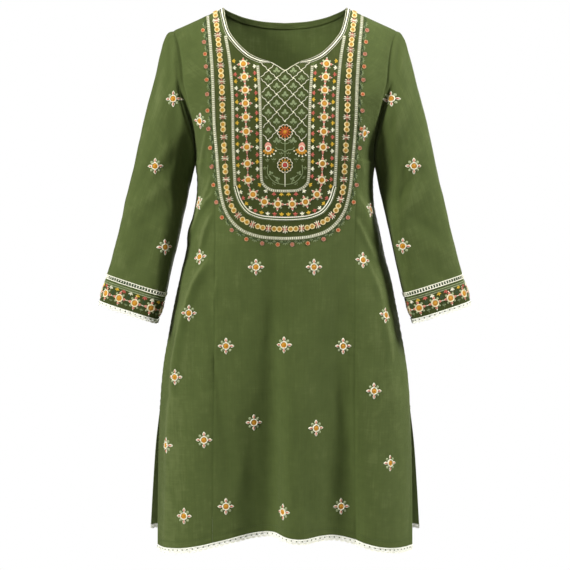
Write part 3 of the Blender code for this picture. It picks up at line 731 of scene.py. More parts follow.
def sleeve_shares():
    """Shares of the outer line at which the rings lie, with rows at both edges of the
    braid."""
    length = lengths(SLEEVE_OUTER)[-1]
    head, foot = 1 - CUFF_BORDER / length, 1 - (CUFF_BORDER - CUFF_BRAID) / length
    cuff = foot + (1 - foot) * crowded(12, far=DENSE)[1:]
    return np.concatenate([head * crowded(SLEEVE_RINGS, near=DENSE), [(head + foot) / 2, foot], cuff])


def ring(grid):
    """A grid whose last column is its first again."""
    return np.concatenate([grid, grid[:, :1]], axis=1)


def ring_normals(grid):
    """Normals of a closed grid, away from the middle of each ring."""
    return grid_normals(grid, grid - grid.mean(axis=1, keepdims=True), closed=True)


def sleeve_grid(side):
    """Rings from armhole to cuff: centre, plus reach times the cosine of the angle, with
    the depth times its sine. Lower down both are raised to a power below 1, which
    flattens the ring. The armhole's own shape fades out over the cap."""
    mirror, share = MIRROR[side], sleeve_shares()
    outer, inner = along(SLEEVE_OUTER, share), along(SLEEVE_INNER, share**INNER_LAG)
    deep, forward = (look_up(SLEEVE_DEPTH, share, k)[:, None] for k in (1, 2))
    angle = np.pi * (1 - ARM_SHARES)
    angle = round_hole(angle, -angle)
    centre, reach = (outer + inner) / 2, (outer - inner) / 2
    lower = ease((share - FLAT_FROM) / FLAT_OVER)[:, None]
    power = 1 - FLATTER * lower
    wide, high = (np.sign(wave) * np.abs(wave) ** power for wave in (np.cos(angle), np.sin(angle)))
    flat = centre[:, None] + reach[:, None] * wide[..., None]
    y = TURNED_OUT * lower * wide - forward - deep * high
    rings = stack(mirror * flat[..., 0], y, flat[..., 1])
    hole = round_hole(*(body[name, side][ARM_START:, -1] for name in HALVES))
    fade = 1 - ease(share / CAP_SHARE)
    grid = rings + fade[:, None, None] * (hole - rings[0])
    normal, up = ring_normals(grid), lengths(grid)
    around = lengths_across(ring(grid))[:, :-1]
    front = ease(0.5 - normal[..., 1] * 1.2)
    x, z = grid[..., 0], grid[..., 2]
    turn = np.linspace(0, 2 * np.pi, around.shape[1], endpoint=False)
    move = creases(SLEEVE_CREASES[side], x, z) * front
    move += creases(SLEEVE_CREASES[OTHER_SIDE[side]] * MIRRORED, x, z) * (1 - front)
    # Painted light and shade on the sleeve's creases: crests paler, troughs darker.
    painted_shading["sleeve", side] = np.clip(move / PAINTED_LIGHT_RELIEF, -1, 1) * ease(up / 0.02)
    move += rumples(0.05 * np.cos(turn), up, 21.0 + mirror)
    move *= edge_quiet(up) * (0.25 + 0.75 * edge_quiet(up[-1:] - up - 0.03))
    valley = bell((up - ARM_VALLEY_PLACE) / ARM_VALLEY_REACH) * round_hole(valley_share(ARM_SHARES))
    tuck = bell((0.5 - 0.5 * np.cos(angle) - TUCK_PLACE) / TUCK_REACH)
    tuck = tuck * ease(up / 0.05) * (1 - 0.8 * ease((up - 0.06) / 0.10))
    grid[..., 1] += (ARM_VALLEY * valley + TUCK * tuck) * np.sin(angle)
    move += pucker(up, around, 31.0 + mirror)
    dip = ARM_DIP * round_hole(dip_share(ARM_SHARES))
    move += dip * (fade[:, None] - bell(up / ARM_DIP_REACH))
    return grid + normal * move[..., None]


sleeves = {side: sleeve_grid(side) for side in MIRROR}
sleeve_normals = {side: ring_normals(grid) for side, grid in sleeves.items()}
print("sleeve rings:", sleeves["left"].shape[:2])

# %% [markdown]
# ## From grids to cloth
#
# A panel becomes a wall: the grid is its right side, the same grid moved inwards is its
# wrong side, and a strip closes the edge all round. Grids that share an edge are welded.
# Each point keeps how far it lies along the weave, in metres, so that threads follow
# the cloth and not the room.

# %% Mesh helpers
WELD, SHARP = 1e-6, np.radians(50)


def new_mesh(name, points, faces, finish, uv=None, tint=None):
    """One object from arrays: points, faces as rows of corners (a triangle repeats its
    last), the place of each point in the weave, and a colour for each point."""
    four = faces[:, 3] != faces[:, 2]
    order = np.concatenate([faces[four].ravel(), faces[~four][:, :3].ravel()]).astype(np.int32)
    counts = np.concatenate([np.full(four.sum(), 4), np.full((~four).sum(), 3)])
    mesh = bpy.data.meshes.new(name)
    mesh.vertices.add(len(points))
    mesh.vertices.foreach_set("co", np.asarray(points, np.float32).ravel())
    mesh.loops.add(len(order))
    mesh.loops.foreach_set("vertex_index", order)
    mesh.polygons.add(len(counts))
    mesh.polygons.foreach_set("loop_start", (np.cumsum(counts) - counts).astype(np.int32))
    mesh.update(calc_edges=True)
    if uv is not None:
        weave = mesh.uv_layers.new(name="weave").data
        weave.foreach_set("uv", np.asarray(uv, np.float32)[order].ravel())
    if tint is not None:
        colours = mesh.color_attributes.new("tint", "FLOAT_COLOR", "POINT")
        solid = np.concatenate([tint, np.ones((len(tint), 1))], axis=1)
        colours.data.foreach_set("color", solid.astype(np.float32).ravel())
    mesh.validate()
    mesh.shade_smooth()
    mesh.set_sharp_from_angle(angle=SHARP)
    mesh.materials.append(finish)
    piece = bpy.data.objects.new(name, mesh)
    bpy.context.scene.collection.objects.link(piece)
    return piece


def grid_faces(rows, columns, start=0):
    """Faces between the rows and columns of a grid."""
    index = start + np.arange(rows * columns).reshape(rows, columns)
    return stack(index[:-1, :-1], index[:-1, 1:], index[1:, 1:], index[1:, :-1]).reshape(-1, 4)


def closed_faces(index):
    """Faces between rows of point numbers that run all the way round."""
    after = np.roll(index, -1, axis=1)
    return stack(index[:-1], index[1:], after[1:], after[:-1]).reshape(-1, 4)


def weave_place(grid, painted_light=0.0):
    """How far each point lies across and along its panel, and the painted light and shade it carries."""
    side = np.sign(grid[0, -1, 0] - grid[0, 0, 0])
    return stack(side * lengths_across(grid), lengths(grid[:, :1]), painted_light)


def wall(name, patches, thickness, finish, slot):
    """A closed wall between patches (grid, normals, weave place) and the same patches
    moved inwards. Faces turn so that the right side looks along the normals."""
    parts, start = [], 0
    for patch in patches:
        points, normal, place = (part.reshape(-1, 3) for part in patch)
        faces = grid_faces(*patch[0].shape[:2])
        a, b, d = (points[faces[:, k]] for k in (0, 1, 3))
        if np.sum(np.cross(b - a, d - a) * normal[faces[:, 0]]) < 0:
            faces = faces[:, ::-1]
        parts.append((points, normal, place, faces + start))
        start += len(points)
    return shell(name, *(np.concatenate(kind) for kind in zip(*parts)), thickness, finish, slot)


def shell(name, points, normals, places, faces, thickness, finish, slot):
    """A closed wall from a surface of faces: equal points are welded, the same surface
    lies a thickness further in, and a strip runs along each open edge."""
    _, first, joined = np.unique(
        np.round(points / WELD).astype(np.int64), axis=0, return_index=True, return_inverse=True
    )
    joined = joined.ravel()
    shared = np.zeros((len(first), 3))
    np.add.at(shared, joined, normals)
    outer, count = points[first], len(first)
    right = joined[faces]
    edges = stack(right, np.roll(right, -1, axis=1)).reshape(-1, 2)
    _, where, uses = np.unique(np.sort(edges, axis=1), axis=0, return_inverse=True, return_counts=True)
    p, q = edges[uses[where.ravel()] == 1].T
    rims = stack(q, p, p + count, q + count)
    wrong = right[:, ::-1] + count
    both = np.concatenate([outer, outer - unit(shared) * thickness])
    place = np.concatenate([places[first], places[first]])
    piece = new_mesh(name, both, np.concatenate([right, wrong, rims]), finish, uv=place[:, :2])
    # The painted light and shade goes along as a point attribute for the cotton finish.
    if places.shape[1] > 2:
        painted_light = piece.data.attributes.new("painted_light", "FLOAT", "POINT").data
        painted_light.foreach_set("value", place[:, 2].astype(np.float32))
    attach(piece, "root")
    print(f"{name}: {len(piece.data.vertices)} points")
    return piece


def declare(piece, grids, **more):
    """States the cloth's own cut, measured on its grids laid side by side: its widest and
    longest line, and its area, half the cross product of each face's diagonals."""
    width = float(sum(lengths_across(grid)[:, -1].max() for grid in grids))
    length = float(max(lengths(grid)[-1].max() for grid in grids))
    crosses = (np.cross(g[1:, 1:] - g[:-1, :-1], g[1:, :-1] - g[:-1, 1:]) for g in grids)
    area = float(sum(np.linalg.norm(cross, axis=-1).sum() for cross in crosses) / 2)
    print(f"{piece.name}: cut {1000 * width:.0f} by {1000 * length:.0f} mm, {area:.3f} square metres")


# %% [markdown]
# ## Shader maths
#
# A finish is a sum of simple patterns. The class below lets them be written as plain
# arithmetic: adding or multiplying two sockets makes the Math node for it.

# %% A socket that can be calculated with
class Value:
    def __init__(self, finish, socket):
        self.finish, self.socket = finish, socket

    def math(self, operation, *others):
        values = dict(enumerate((self, *others)))
        return self.finish.node("Math", {"operation": operation}, values)

    def __add__(self, other):
        return self.math("ADD", other)

    def __mul__(self, other):
        return self.math("MULTIPLY", other)

    def __sub__(self, other):
        return self.math("SUBTRACT", other)

    def __rsub__(self, other):
        return self.math("MULTIPLY_ADD", -1.0, other)

    __radd__, __rmul__ = __add__, __mul__

    def sine(self):
        return self.math("SINE")

    def power(self, other):
        return self.math("POWER", other)

    def clamp(self):
        return self.finish.node("Clamp", {}, {"Value": self})


class Finish:
    """A material with one Principled BSDF, whose other nodes come from `node`."""

    def __init__(self, name, **constants):
        self.material = bpy.data.materials.new(name)
        self.material.use_nodes = True
        self.tree = self.material.node_tree
        self.shader = self.tree.nodes["Principled BSDF"]
        self.shade(**constants)

    def node(self, kind, settings, values, out=0):
        made = self.tree.nodes.new("ShaderNode" + kind)
        for key, setting in settings.items():
            setattr(made, key, setting)
        for key, value in values.items():
            self.feed(made.inputs[key], value)
        return Value(self, made.outputs[out])

    def feed(self, socket, value):
        if isinstance(value, Value):
            self.tree.links.new(value.socket, socket)
        else:
            socket.default_value = value

    def split(self, vector):
        made = self.tree.nodes.new("ShaderNodeSeparateXYZ")
        self.feed(made.inputs[0], vector)
        return [Value(self, out) for out in made.outputs]

    def noise(self, vector, scale, detail=2.0, roughness=0.5):
        values = {"Vector": vector, "Scale": scale, "Detail": detail, "Roughness": roughness}
        return self.node("TexNoise", {}, values)

    def grain(self, vector, across, up):
        """Noise with its own fineness across and up the cloth."""
        scale = (across, up, 1.0)
        return self.noise(self.node("Mapping", {}, {"Vector": vector, "Scale": scale}), 1.0)

    def mix(self, factor, first, second):
        """A blend of two colours, which have the Mix node's inputs 6 and 7."""
        values = {0: factor, 6: first, 7: second}
        return self.node("Mix", {"data_type": "RGBA"}, values, out=2)

    def bump(self, height, strength, distance):
        values = {"Height": height, "Strength": strength, "Distance": distance}
        self.feed(self.shader.inputs["Normal"], self.node("Bump", {}, values))

    def shade(self, **sockets):
        for socket, value in sockets.items():
            self.feed(self.shader.inputs[socket.replace("_", " ")], value)


print("a Value can:", [name for name in vars(Value) if name not in dir(object)])

# %% [markdown]
# ## Olive cotton
#
# Plain weave: one thread over, one under, both ways. The yarn is uneven, so that short thicker slubs show as
# paler and darker streaks along and across. The crest of each thread carries a small painted highlight, the
# creases carry painted light and shade, paler on the crests and darker in the troughs, and the finish is matt
# with a soft sheen.

# %% Cotton
# Thread pitch, and how strongly the creases' painted light and shade moves the colour.
THREAD, PAINTED_LIGHT_STRENGTH = 0.00055, 0.48


def cotton(name, pale, plain, deep):
    """Woven cotton on the piece's own weave map, in metres, in three shades of a dye."""
    finish = Finish(
        name, Roughness=0.88, Specular_IOR_Level=0.16, Sheen_Weight=0.08, Sheen_Roughness=0.5,
        Sheen_Tint=(0.85, 0.90, 0.55, 1.0),
    )
    place = finish.node("UVMap", {"uv_map": "weave"}, {})
    u, v, _ = finish.split(place)
    turn = 2 * np.pi / THREAD
    over = (u * (turn / 2)).sine() * (v * (turn / 2)).sine()
    warp, weft = finish.grain(place, 900.0, 24.0), finish.grain(place, 30.0, 1000.0)
    slubs, bars = finish.grain(place, 320.0, 18.0), finish.grain(place, 26.0, 300.0)
    cloudy, painted_light_and_wear = finish.noise(place, 22.0, 3.0, 0.6), finish.noise(place, 90.0)
    painted_light = finish.node("Attribute", {"attribute_name": "painted_light"}, {}, out=2)
    streaks = warp * 0.55 + weft * 0.45
    long_marks = slubs * 0.55 + bars * 0.30 + cloudy * 0.9
    # Its last term paints a small highlight on the crest of each thread.
    light = streaks * 0.8 + long_marks * 0.9 + painted_light_and_wear * 0.6 - 1.04 + over * 0.05
    # The creases' painted light and shade, read from the point attribute: paler crests, darker troughs.
    light = (light + painted_light * PAINTED_LIGHT_STRENGTH).clamp()
    colour = finish.mix(light, deep, plain)
    colour = finish.mix((light * 1.6 - 0.85).clamp(), colour, pale)
    finish.shade(Base_Color=colour, Roughness=0.80 + painted_light_and_wear * 0.16)
    finish.bump(over * 0.5 + streaks * 1.3 + painted_light_and_wear * 0.5, 0.5, 0.0003)
    return finish.material


olive = cotton(
    "olive_cotton", pale=(0.108, 0.134, 0.044, 1.0), plain=(0.082, 0.108, 0.029, 1.0),
    deep=(0.056, 0.078, 0.018, 1.0),
)
print("cotton:", len(olive.node_tree.nodes), "nodes, threads", 1000 * THREAD, "mm apart")

# %% Panels
GAP = 0.00002  # sewn edges touch
panels, cuts = {}, {}


def drawn_in(grid, ends):
    """The grid with its top row and the given columns at its sides moved in by a hair."""
    grid = grid.copy()
    edges = [(np.s_[:, end], np.s_[:, beside]) for end, beside in ends]
    for edge, beside in [(-1, -2), *edges]:
        grid[edge] += GAP * unit(grid[beside] - grid[edge])
    return grid


def panel_cloth(name, keys, part, ends=((-1, -2),)):
    """The cloth of a panel, from the same columns of one or two half grids."""
    patches = []
    for key in keys:
        place = weave_place(plain[key], painted_shading[key])
        patches.append((drawn_in(body[key][part], ends), normals[key][part], place[part]))
    panels[name] = wall(name + "_cloth", patches, CLOTH, olive, "cotton")
    cuts[name] = [plain[key][part] for key in keys]


for side in MIRROR:
    outer_columns = np.s_[:, INNER_COLUMNS:]
    panel_cloth(f"front_side_{side}", [("front", side)], outer_columns, ((0, 1), (-1, -2)))
panel_cloth("front_centre", [("front", side) for side in MIRROR], np.s_[:, : INNER_COLUMNS + 1])
panel_cloth("back", [("back", side) for side in MIRROR], np.s_[:, :])

# %% Sleeve cloth
WIDE_RING = 60  # the ring on which the weave is measured round the arm

for side in MIRROR:
    grid = sleeves[side].copy()
    grid[0] += SEAM_GAP * unit(grid[1] - grid[0])
    closed = ring(grid)
    around = lengths(closed[WIDE_RING])
    place = stack(around, lengths(closed[:, :1]), ring(painted_shading["sleeve", side]))
    patch = (closed, ring(sleeve_normals[side]), place)
    name = f"sleeve_{side}"
    panels[name] = wall(name + "_cloth", [patch], CLOTH, olive, "cotton")
    cuts[name] = [closed]

# %% [markdown]
# ## Laying thread on cloth
#
# Embroidery is drawn flat, as small shapes with a place and a height above the cloth,
# and then laid on the surface: every point looks up its row and column in the cloth's
# grid and stands off along the normal there. So thread follows each fold without a
# modifier, and one drawing serves a flat chest as well as a curved sleeve.

# %% Finding a place on the cloth
START_STEP, NEWTON_STEPS, FURTHEST_STEP, BLOCK = 6, 9, 4.0, 4000
FLATTEST = 1e-9
ACROSS, _, UP = np.eye(3)


def blended(table, place):
    """Blend of the four entries of a table round each place (row, column)."""
    i, j = np.floor(place).astype(int).T
    f, g = (place - np.floor(place)).T[..., None]
    first = table[i, j] * (1 - g) + table[i, j + 1] * g
    second = table[i + 1, j] * (1 - g) + table[i + 1, j + 1] * g
    return first * (1 - f) + second * f


class Surface:
    """A grid of cloth that answers with the point and the normal at any place on it."""

    def __init__(self, grid, normal):
        self.layers = np.concatenate([grid, normal, *np.gradient(grid, axis=(0, 1))], axis=-1)
        self.last = np.array(grid.shape[:2]) - 1.0001

    def read(self, place):
        """The point, the normal, and the steps down a row and along a column."""
        return np.split(blended(self.layers, np.clip(place, 0, self.last)), 4, axis=-1)

    def find(self, wanted, across, up, origin):
        """Row and column of the points that lie the wanted distances across and up from
        an origin: the nearest of some grid points, and Newton's steps from there."""
        aim = origin + wanted[:, :1] * across + wanted[:, 1:] * up
        some = self.layers[::START_STEP, ::START_STEP, :3]
        spots = some.reshape(-1, 3)
        nearest = np.concatenate([
            np.argmin((part**2).sum(-1)[:, None] - 2 * part @ spots.T + (spots**2).sum(-1), axis=1)
            for part in np.array_split(aim, len(aim) // BLOCK + 1)
        ])
        place = START_STEP * stack(*np.unravel_index(nearest, some.shape[:2]))
        for _ in range(NEWTON_STEPS):
            point, _, *steps = self.read(place)
            a, b = (
                wanted[:, k] - np.sum((point - origin) * axis, axis=-1) for k, axis in enumerate((across, up))
            )
            ar, ac, br, bc = (np.sum(step * axis, axis=-1) for axis in (across, up) for step in steps)
            spread = ar * bc - ac * br
            spread = np.where(np.abs(spread) < FLATTEST, FLATTEST, spread)[:, None]
            step = stack(a * bc - b * ac, ar * b - br * a) / spread
            place = np.clip(place + np.clip(step, -FURTHEST_STEP, FURTHEST_STEP), 0, self.last)
        return place


def finder(left, right, start):
    """A function that gives the points and normals of the cloth at flat places, each
    looked up in the surface on its side. They are measured from an origin along two
    directions: at first the room's, with the origin a little in front or behind."""

    def find(flat, across=ACROSS, up=UP, origin=(0.0, start, 0.0)):
        across, up, origin = (np.broadcast_to(v, (len(flat), 3)) for v in (across, up, origin))
        aim = (origin + flat[:, :1] * across + flat[:, 1:2] * up)[:, 0]
        points, out = np.zeros((2, len(flat), 3))
        for surface, mine in ((left, aim < 0), (right, aim >= 0)):
            if mine.any():
                place = surface.find(flat[mine, :2], across[mine], up[mine], origin[mine])
                points[mine], out[mine] = surface.read(place)[:2]
        return points, unit(out)

    return find


on_front, on_back = (
    finder(*(Surface(body[name, side], normals[name, side]) for side in MIRROR), panel.side / 10)
    for name, panel in HALVES.items()
)
points, _ = on_front(metres((0, -300), (-100, -300)))
print("points of the chest:", np.round(points, 3).tolist())

# %% [markdown]
# ## Shapes in thread
#
# Satin stitch fills a small shape with threads side by side, so that it stands up like a
# cushion. Chain stitch and cords make the lines. Each shape below is a few dozen faces,
# and a drawing collects as many copies of it as needed.

# %% Drawings and their shapes
SUNK = -0.00015  # edges of thread lie this far below the cloth's surface
FINE, MM = 0.0006, 0.001  # a fine step along a path, and a millimetre


def shape(points, faces, strand, tint):
    """Points in their last axis, faces, the strands' map, and one colour or many."""
    points, strand = points.reshape(-1, 3), strand.reshape(-1, 2)
    tint = np.broadcast_to(np.asarray(tint, float), points.shape)
    return SimpleNamespace(points=points, faces=faces, strand=strand, tint=tint)


class Drawing:
    """Shapes in thread: points across, up and above the cloth, with faces and colours."""

    def __init__(self):
        self.parts, self.count = [], 0

    def add(self, made):
        self.parts.append((made.points, made.faces + self.count, made.strand, made.tint))
        self.count += len(made.points)

    def stamp(self, what, places, turn=0.0, size=1.0, tint=None):
        """Copies of a shape at places, each turned, sized and perhaps coloured."""
        places = np.atleast_2d(places)
        count, each = len(places), len(what.points)
        turn, size = (np.broadcast_to(v, count)[:, None] for v in (turn, size))
        p, q, high = what.points.T
        points = stack(
            places[:, :1] + size * (np.cos(turn) * p - np.sin(turn) * q),
            places[:, 1:2] + size * (np.sin(turn) * p + np.cos(turn) * q),
            high,
        )
        faces = (what.faces + each * np.arange(count)[:, None, None]).reshape(-1, 4)
        if tint is None:
            tint = np.tile(what.tint, (count, 1))
        else:
            tint = np.repeat(np.broadcast_to(tint, (count, 3)), each, axis=0)
        self.add(shape(points, faces, np.tile(what.strand, (count, 1)), tint))

    def run(self, path, profile, tint, offset=0.0, swell=1.0, ends=0.04):
        """A profile of (sideways, height) carried along a path, moved sideways by the
        offset. It shrinks to a share of its size at both ends."""
        profile, forward = np.array(profile), unit(np.gradient(path, axis=0))
        side = stack(forward[:, 1], -forward[:, 0])
        full = np.ones(len(path))
        full[[0, -1]] = ends
        swell = (swell * full)[:, None]
        sideways = np.broadcast_to(offset, len(path))[:, None] + swell * profile[:, 0]
        flat = path[:, None] + side[:, None] * sideways[..., None]
        high = SUNK + swell * (profile[:, 1] - SUNK)
        points = np.concatenate([flat, high[..., None]], axis=-1)
        self.add(shape(points, grid_faces(*high.shape), stack(lengths(path)[:, None], sideways), tint))

    def joined(self):
        return shape(*(np.concatenate(kind) for kind in zip(*self.parts)))


def petal(length, width, rise, tint, bulge=0.8, rows=6, columns=4, start=0.0):
    """A drop from its root up to its tip, in millimetres: the half width is the sine of pi
    times the share of the length to a power, and the height falls by a square."""
    length, width, rise, start = MM * length, MM * width, MM * rise, MM * start
    t = np.linspace(0, 1, rows + 1)[:, None]
    s = np.linspace(-1, 1, columns + 1)
    half = np.maximum(np.sin(np.pi * t**bulge), 0.03) ** 0.8 * width / 2
    high = SUNK + (rise - SUNK) * (1 - s**2) * np.maximum(np.sin(np.pi * t), 0) ** 0.5
    points = stack(half * s, start + length * t, high)
    return shape(points, grid_faces(rows + 1, columns + 1), stack(length * t, half * s), tint)


def blade(length, width, rise, tint, rows=4, **more):
    """A petal with few faces."""
    return petal(length, width, rise, tint, rows=rows, columns=2, **more)


def dome(radius, rise, tint, sides=12, rings=(0.5, 0.82, 1.0)):
    """A round cushion, in millimetres: its height falls from the middle by the fourth
    power of the share of the radius."""
    radius, rise = MM * radius, MM * rise
    turn = np.linspace(0, 2 * np.pi, sides, endpoint=False)
    share = np.array(rings)[:, None]
    high = SUNK + (rise - SUNK) * (1 - share**4)
    rim = stack(radius * share * np.cos(turn), radius * share * np.sin(turn), high).reshape(-1, 3)
    points = np.concatenate([[[0, 0, rise]], rim])
    index = 1 + np.arange(len(rim)).reshape(-1, sides)
    after = np.roll(index[0], -1)
    faces = np.concatenate([stack(0, index[0], after, after), closed_faces(index)])
    return shape(points, faces, points[:, :2], tint)


def knot(radius, rise, tint, sides=8, rings=(0.7, 1.0)):
    """A dome with few faces."""
    return dome(radius, rise, tint, sides, rings)


def stitch_line(width, rise):
    """The section of a line of stitches: flat on top, with sloping sides."""
    return [(-width / 2, SUNK), (-width * 0.32, rise), (width * 0.32, rise), (width / 2, SUNK)]


def hoop(radius, width, rise, tint, sides=18, waves=0, wave=0.0):
    """A ring of couched cord, in millimetres, three faces wide. Waves scallop it."""
    turn = np.linspace(0, 2 * np.pi, sides, endpoint=False)
    across, high = np.array(stitch_line(MM * width, MM * rise)).T[..., None]
    reach = MM * radius * (1 + wave * np.abs(np.sin(waves * turn / 2))) + across
    points = stack(reach * np.cos(turn), reach * np.sin(turn), high)
    faces = closed_faces(np.arange(reach.size).reshape(reach.shape))
    return shape(points, faces, stack(MM * radius * turn, across), tint)


def evenly(path, step):
    """The path again, with points about one step apart."""
    count = max(2, int(np.ceil(lengths(path)[-1] / step)))
    return along(path, np.linspace(0, 1, count + 1))


def whole(half):
    """A path from the middle outwards, joined to its mirror image."""
    return np.concatenate([half[:0:-1] * (-1, 1), half])


def beads(path, pitch, depth):
    """Swelling and thinning along a path, once for each stitch."""
    return 1 - depth * (0.5 + 0.5 * np.cos(2 * np.pi * lengths(path) / pitch))


print("a petal has", len(petal(10, 5, 1, (1, 1, 1)).faces), "faces")

# %% Places along a path
def read_off(path, at):
    """Places at distances along a path, and the path's direction there."""
    fine = evenly(path, FINE)
    values = np.concatenate([fine, unit(np.gradient(fine, axis=0))], axis=1).T
    return np.split(stack(*(np.interp(at, lengths(fine), v) for v in values)), 2, axis=1)


def spaced(half, marks, first=0.0, step=1.0):
    """Places along half a path and its mirror image. The marks (number, distance from
    the middle) say where some of them lie, and the others follow smoothly. The turn
    points each away from the path's inner side."""
    number = np.arange(first, marks[-1][0] + 0.01, step)
    place, ahead = read_off(half, look_up(np.array(marks), number))
    turn = np.arctan2(-ahead[:, 1], -ahead[:, 0])
    other = place[:, 0] > 1e-4
    place = np.concatenate([place, place[other] * (-1, 1)])
    return place, np.concatenate([turn, -turn[other]]), np.concatenate([number, number[other]])


def beside(place, turn, distance):
    """Places moved away from the path's inner side."""
    return place + distance * stack(-np.sin(turn), np.cos(turn))


def stitches(drawing, path, what, pitch, offset=0.0, lean=0.0):
    """Copies of a shape along a path, a pitch apart, moved sideways and leaning from its
    direction. Each is a little paler or darker than the last."""
    at = np.arange(pitch / 2, lengths(evenly(path, FINE))[-1], pitch)
    place, ahead = read_off(path, at)
    place = place + offset * stack(ahead[:, 1], -ahead[:, 0])
    uneven = 0.86 + 0.14 * np.sin(2.4 * np.arange(len(at)))
    turn = np.arctan2(-ahead[:, 0], ahead[:, 1]) + lean
    drawing.stamp(what, place, turn, tint=what.tint[:1] * uneven[:, None])


level = metres((0, 0), (9, 0), (20, 0))
print("turn at the start of a level path:", spaced(level, ((0, 0), (1, 0.01)))[1][0])

# %% [markdown]
# ## Thread
#
# Embroidery floss is glossy along its strands and dull across them. The strands are ridges in the bump, a
# third of a millimetre wide, with a painted highlight along each ridge, and each carries a slightly different
# shade. One finish serves every colour, because each point keeps its own.

# %% The finish of thread
STRAND = 0.00038
WHITE = (0.955, 0.930, 0.760)
CREAM = (0.862, 0.835, 0.640)
IVORY = (0.722, 0.693, 0.532)
STONE = (0.330, 0.335, 0.200)
BUTTER = (0.810, 0.718, 0.460)
EMERALD = (0.022, 0.048, 0.012)
STITCH = (0.060, 0.082, 0.022)
GOLD = (0.576, 0.264, 0.019)
DEEP_GOLD = (0.504, 0.207, 0.014)
ORANGE = (0.704, 0.163, 0.027)
PINK = (0.623, 0.265, 0.187)
RED = (0.456, 0.052, 0.038)
YELLOW = (0.689, 0.447, 0.040)
AMBER = (0.459, 0.246, 0.023)
STRAW = (0.774, 0.634, 0.306)
ROSE = (0.550, 0.129, 0.090)
RUST = (0.602, 0.103, 0.027)
PEACH = (0.620, 0.320, 0.150)
SALMON = (0.493, 0.175, 0.080)
BLUSH = (0.541, 0.252, 0.171)
SAGE = (0.235, 0.285, 0.130)
PALE_SAGE = (0.350, 0.400, 0.220)
MOSS = (0.200, 0.245, 0.115)
VINE = (0.036, 0.060, 0.020)


def thread(name, gloss, strength):
    """Floss in the colour of each point, with strands across the shape's own map."""
    finish = Finish(name, Roughness=gloss, Specular_IOR_Level=0.22)
    colour = finish.node("Attribute", {"attribute_name": "tint"}, {})
    place = finish.node("UVMap", {"uv_map": "weave"}, {})
    u, v, _ = finish.split(place)
    ridges = ((u + v * 0.6) * (2 * np.pi / STRAND)).sine() * 0.5 + 0.5
    uneven = finish.grain(place, 2600.0, 500.0)
    # The ridges paint a highlight along each strand; the grain gives each strand its own tone.
    shade = (ridges * 0.30 + uneven * 0.9 - 0.10).clamp()
    dark, pale = (
        finish.node("VectorMath", {"operation": "SCALE"}, {0: colour, "Scale": scale})
        for scale in (0.80, 1.18)
    )
    finish.shade(Base_Color=finish.mix(shade, dark, pale), Roughness=gloss + uneven * 0.15)
    finish.bump(ridges + uneven * 0.6, strength, 0.00025)
    return finish.material


floss = thread("floss", 0.48, 0.55)


def sewn(name, drawing, find, finish=floss):
    """The piece that a drawing becomes, with its points laid on the cloth by `find`."""
    flat = drawing.joined()
    points, out = find(flat.points)
    points, faces = points + out * flat.points[:, 2:], flat.faces
    a, b, c = (points[faces[:, k]] for k in range(3))
    if np.sum(np.cross(b - a, c - a) * out[faces[:, 0]]) < 0:
        four = (faces[:, 3] != faces[:, 2])[:, None]
        faces = np.where(four, faces[:, [0, 3, 2, 1]], faces[:, [0, 2, 1, 1]])
    piece = new_mesh(name, points, faces, finish, uv=flat.strand, tint=flat.tint)
    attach(piece, "root")
    print(f"{name}: {len(flat.faces)} faces")
    return piece


print("thread:", len(floss.node_tree.nodes), "nodes")

# %% [markdown]
# ## The yoke
#
# The front carries a U-shaped yoke. Couched cream braid draws three U lines, the middle
# one with plain cords in its curve. Outside them runs a leafy garland of seeds, between
# the outer two are pairs of golden rounds and small cross sprigs, between the inner two
# is a row of eight-petalled flowers linked by short stitches, and inside is a trellis
# with a leaf in each cell, and two round flowers and drops on stems. Every motif is a
# common one of such work, drawn here from plain shapes.

# %% Lines of the yoke
OUTER_U = metres(  # from the lower middle, up the right side to the shoulder
    (0, -408.5), (30.7, -407), (66, -398.2), (89.8, -380.1), (105, -353.5), (112.5, -317.9),
    (117, -264.8), (121.5, -205.9), (123.6, -146.4), (128.1, -85), (136.2, -15),
)
MIDDLE_U = metres(
    (0, -374.8), (30.7, -373.2), (60, -364.4), (77.9, -342.2), (85.3, -318.6), (87.9, -250.7),
    (89.3, -177.2), (95.4, -101.2), (103.4, -56),
)
INNER_U = metres(
    (0, -327.7), (18, -327), (30.6, -322.1), (39.2, -311), (40.8, -290), (41.2, -240), (42.5, -178),
    (46.6, -112),
)
PAIR_LINE = metres(
    (0, -393), (30, -391.2), (60, -382.6), (82, -367), (94.5, -344), (99.8, -318), (102.8, -264),
    (105.8, -205.9), (108.2, -146.4), (113.2, -85), (122.8, -8.5),
)
FLOWER_LINE = metres(
    (0, -350.6), (22, -349.2), (42, -343), (56, -331), (62.2, -312), (64, -270), (66.2, -215),
    (67.6, -160), (71.6, -104),
)
yoke = Drawing()
PLAIT_PITCH, PLAIT_PLACE, PLAIT_LEAN = 0.0035, 0.18, 0.85
STRAIGHT = 4  # from this row on the U lines run up nearly straight


def braid(drawing, path, width):
    """A flat couched braid: a plain bed, two rows of slanting stitches over it, and a
    fine cord along each edge."""
    path = evenly(path, 0.0009)
    drawing.run(path, stitch_line(width * 0.90, 0.0007), STONE)
    long = 0.62 * width / MM
    slant = blade(long, 3.1, 1.7, WHITE, rows=3, bulge=1.0, start=-long / 2)
    for side in MIRROR.values():
        stitches(drawing, path, slant, PLAIT_PITCH, side * width * PLAIT_PLACE, side * PLAIT_LEAN)
        drawing.run(path, stitch_line(0.0008, 0.0010), STONE, offset=side * width * 0.44)


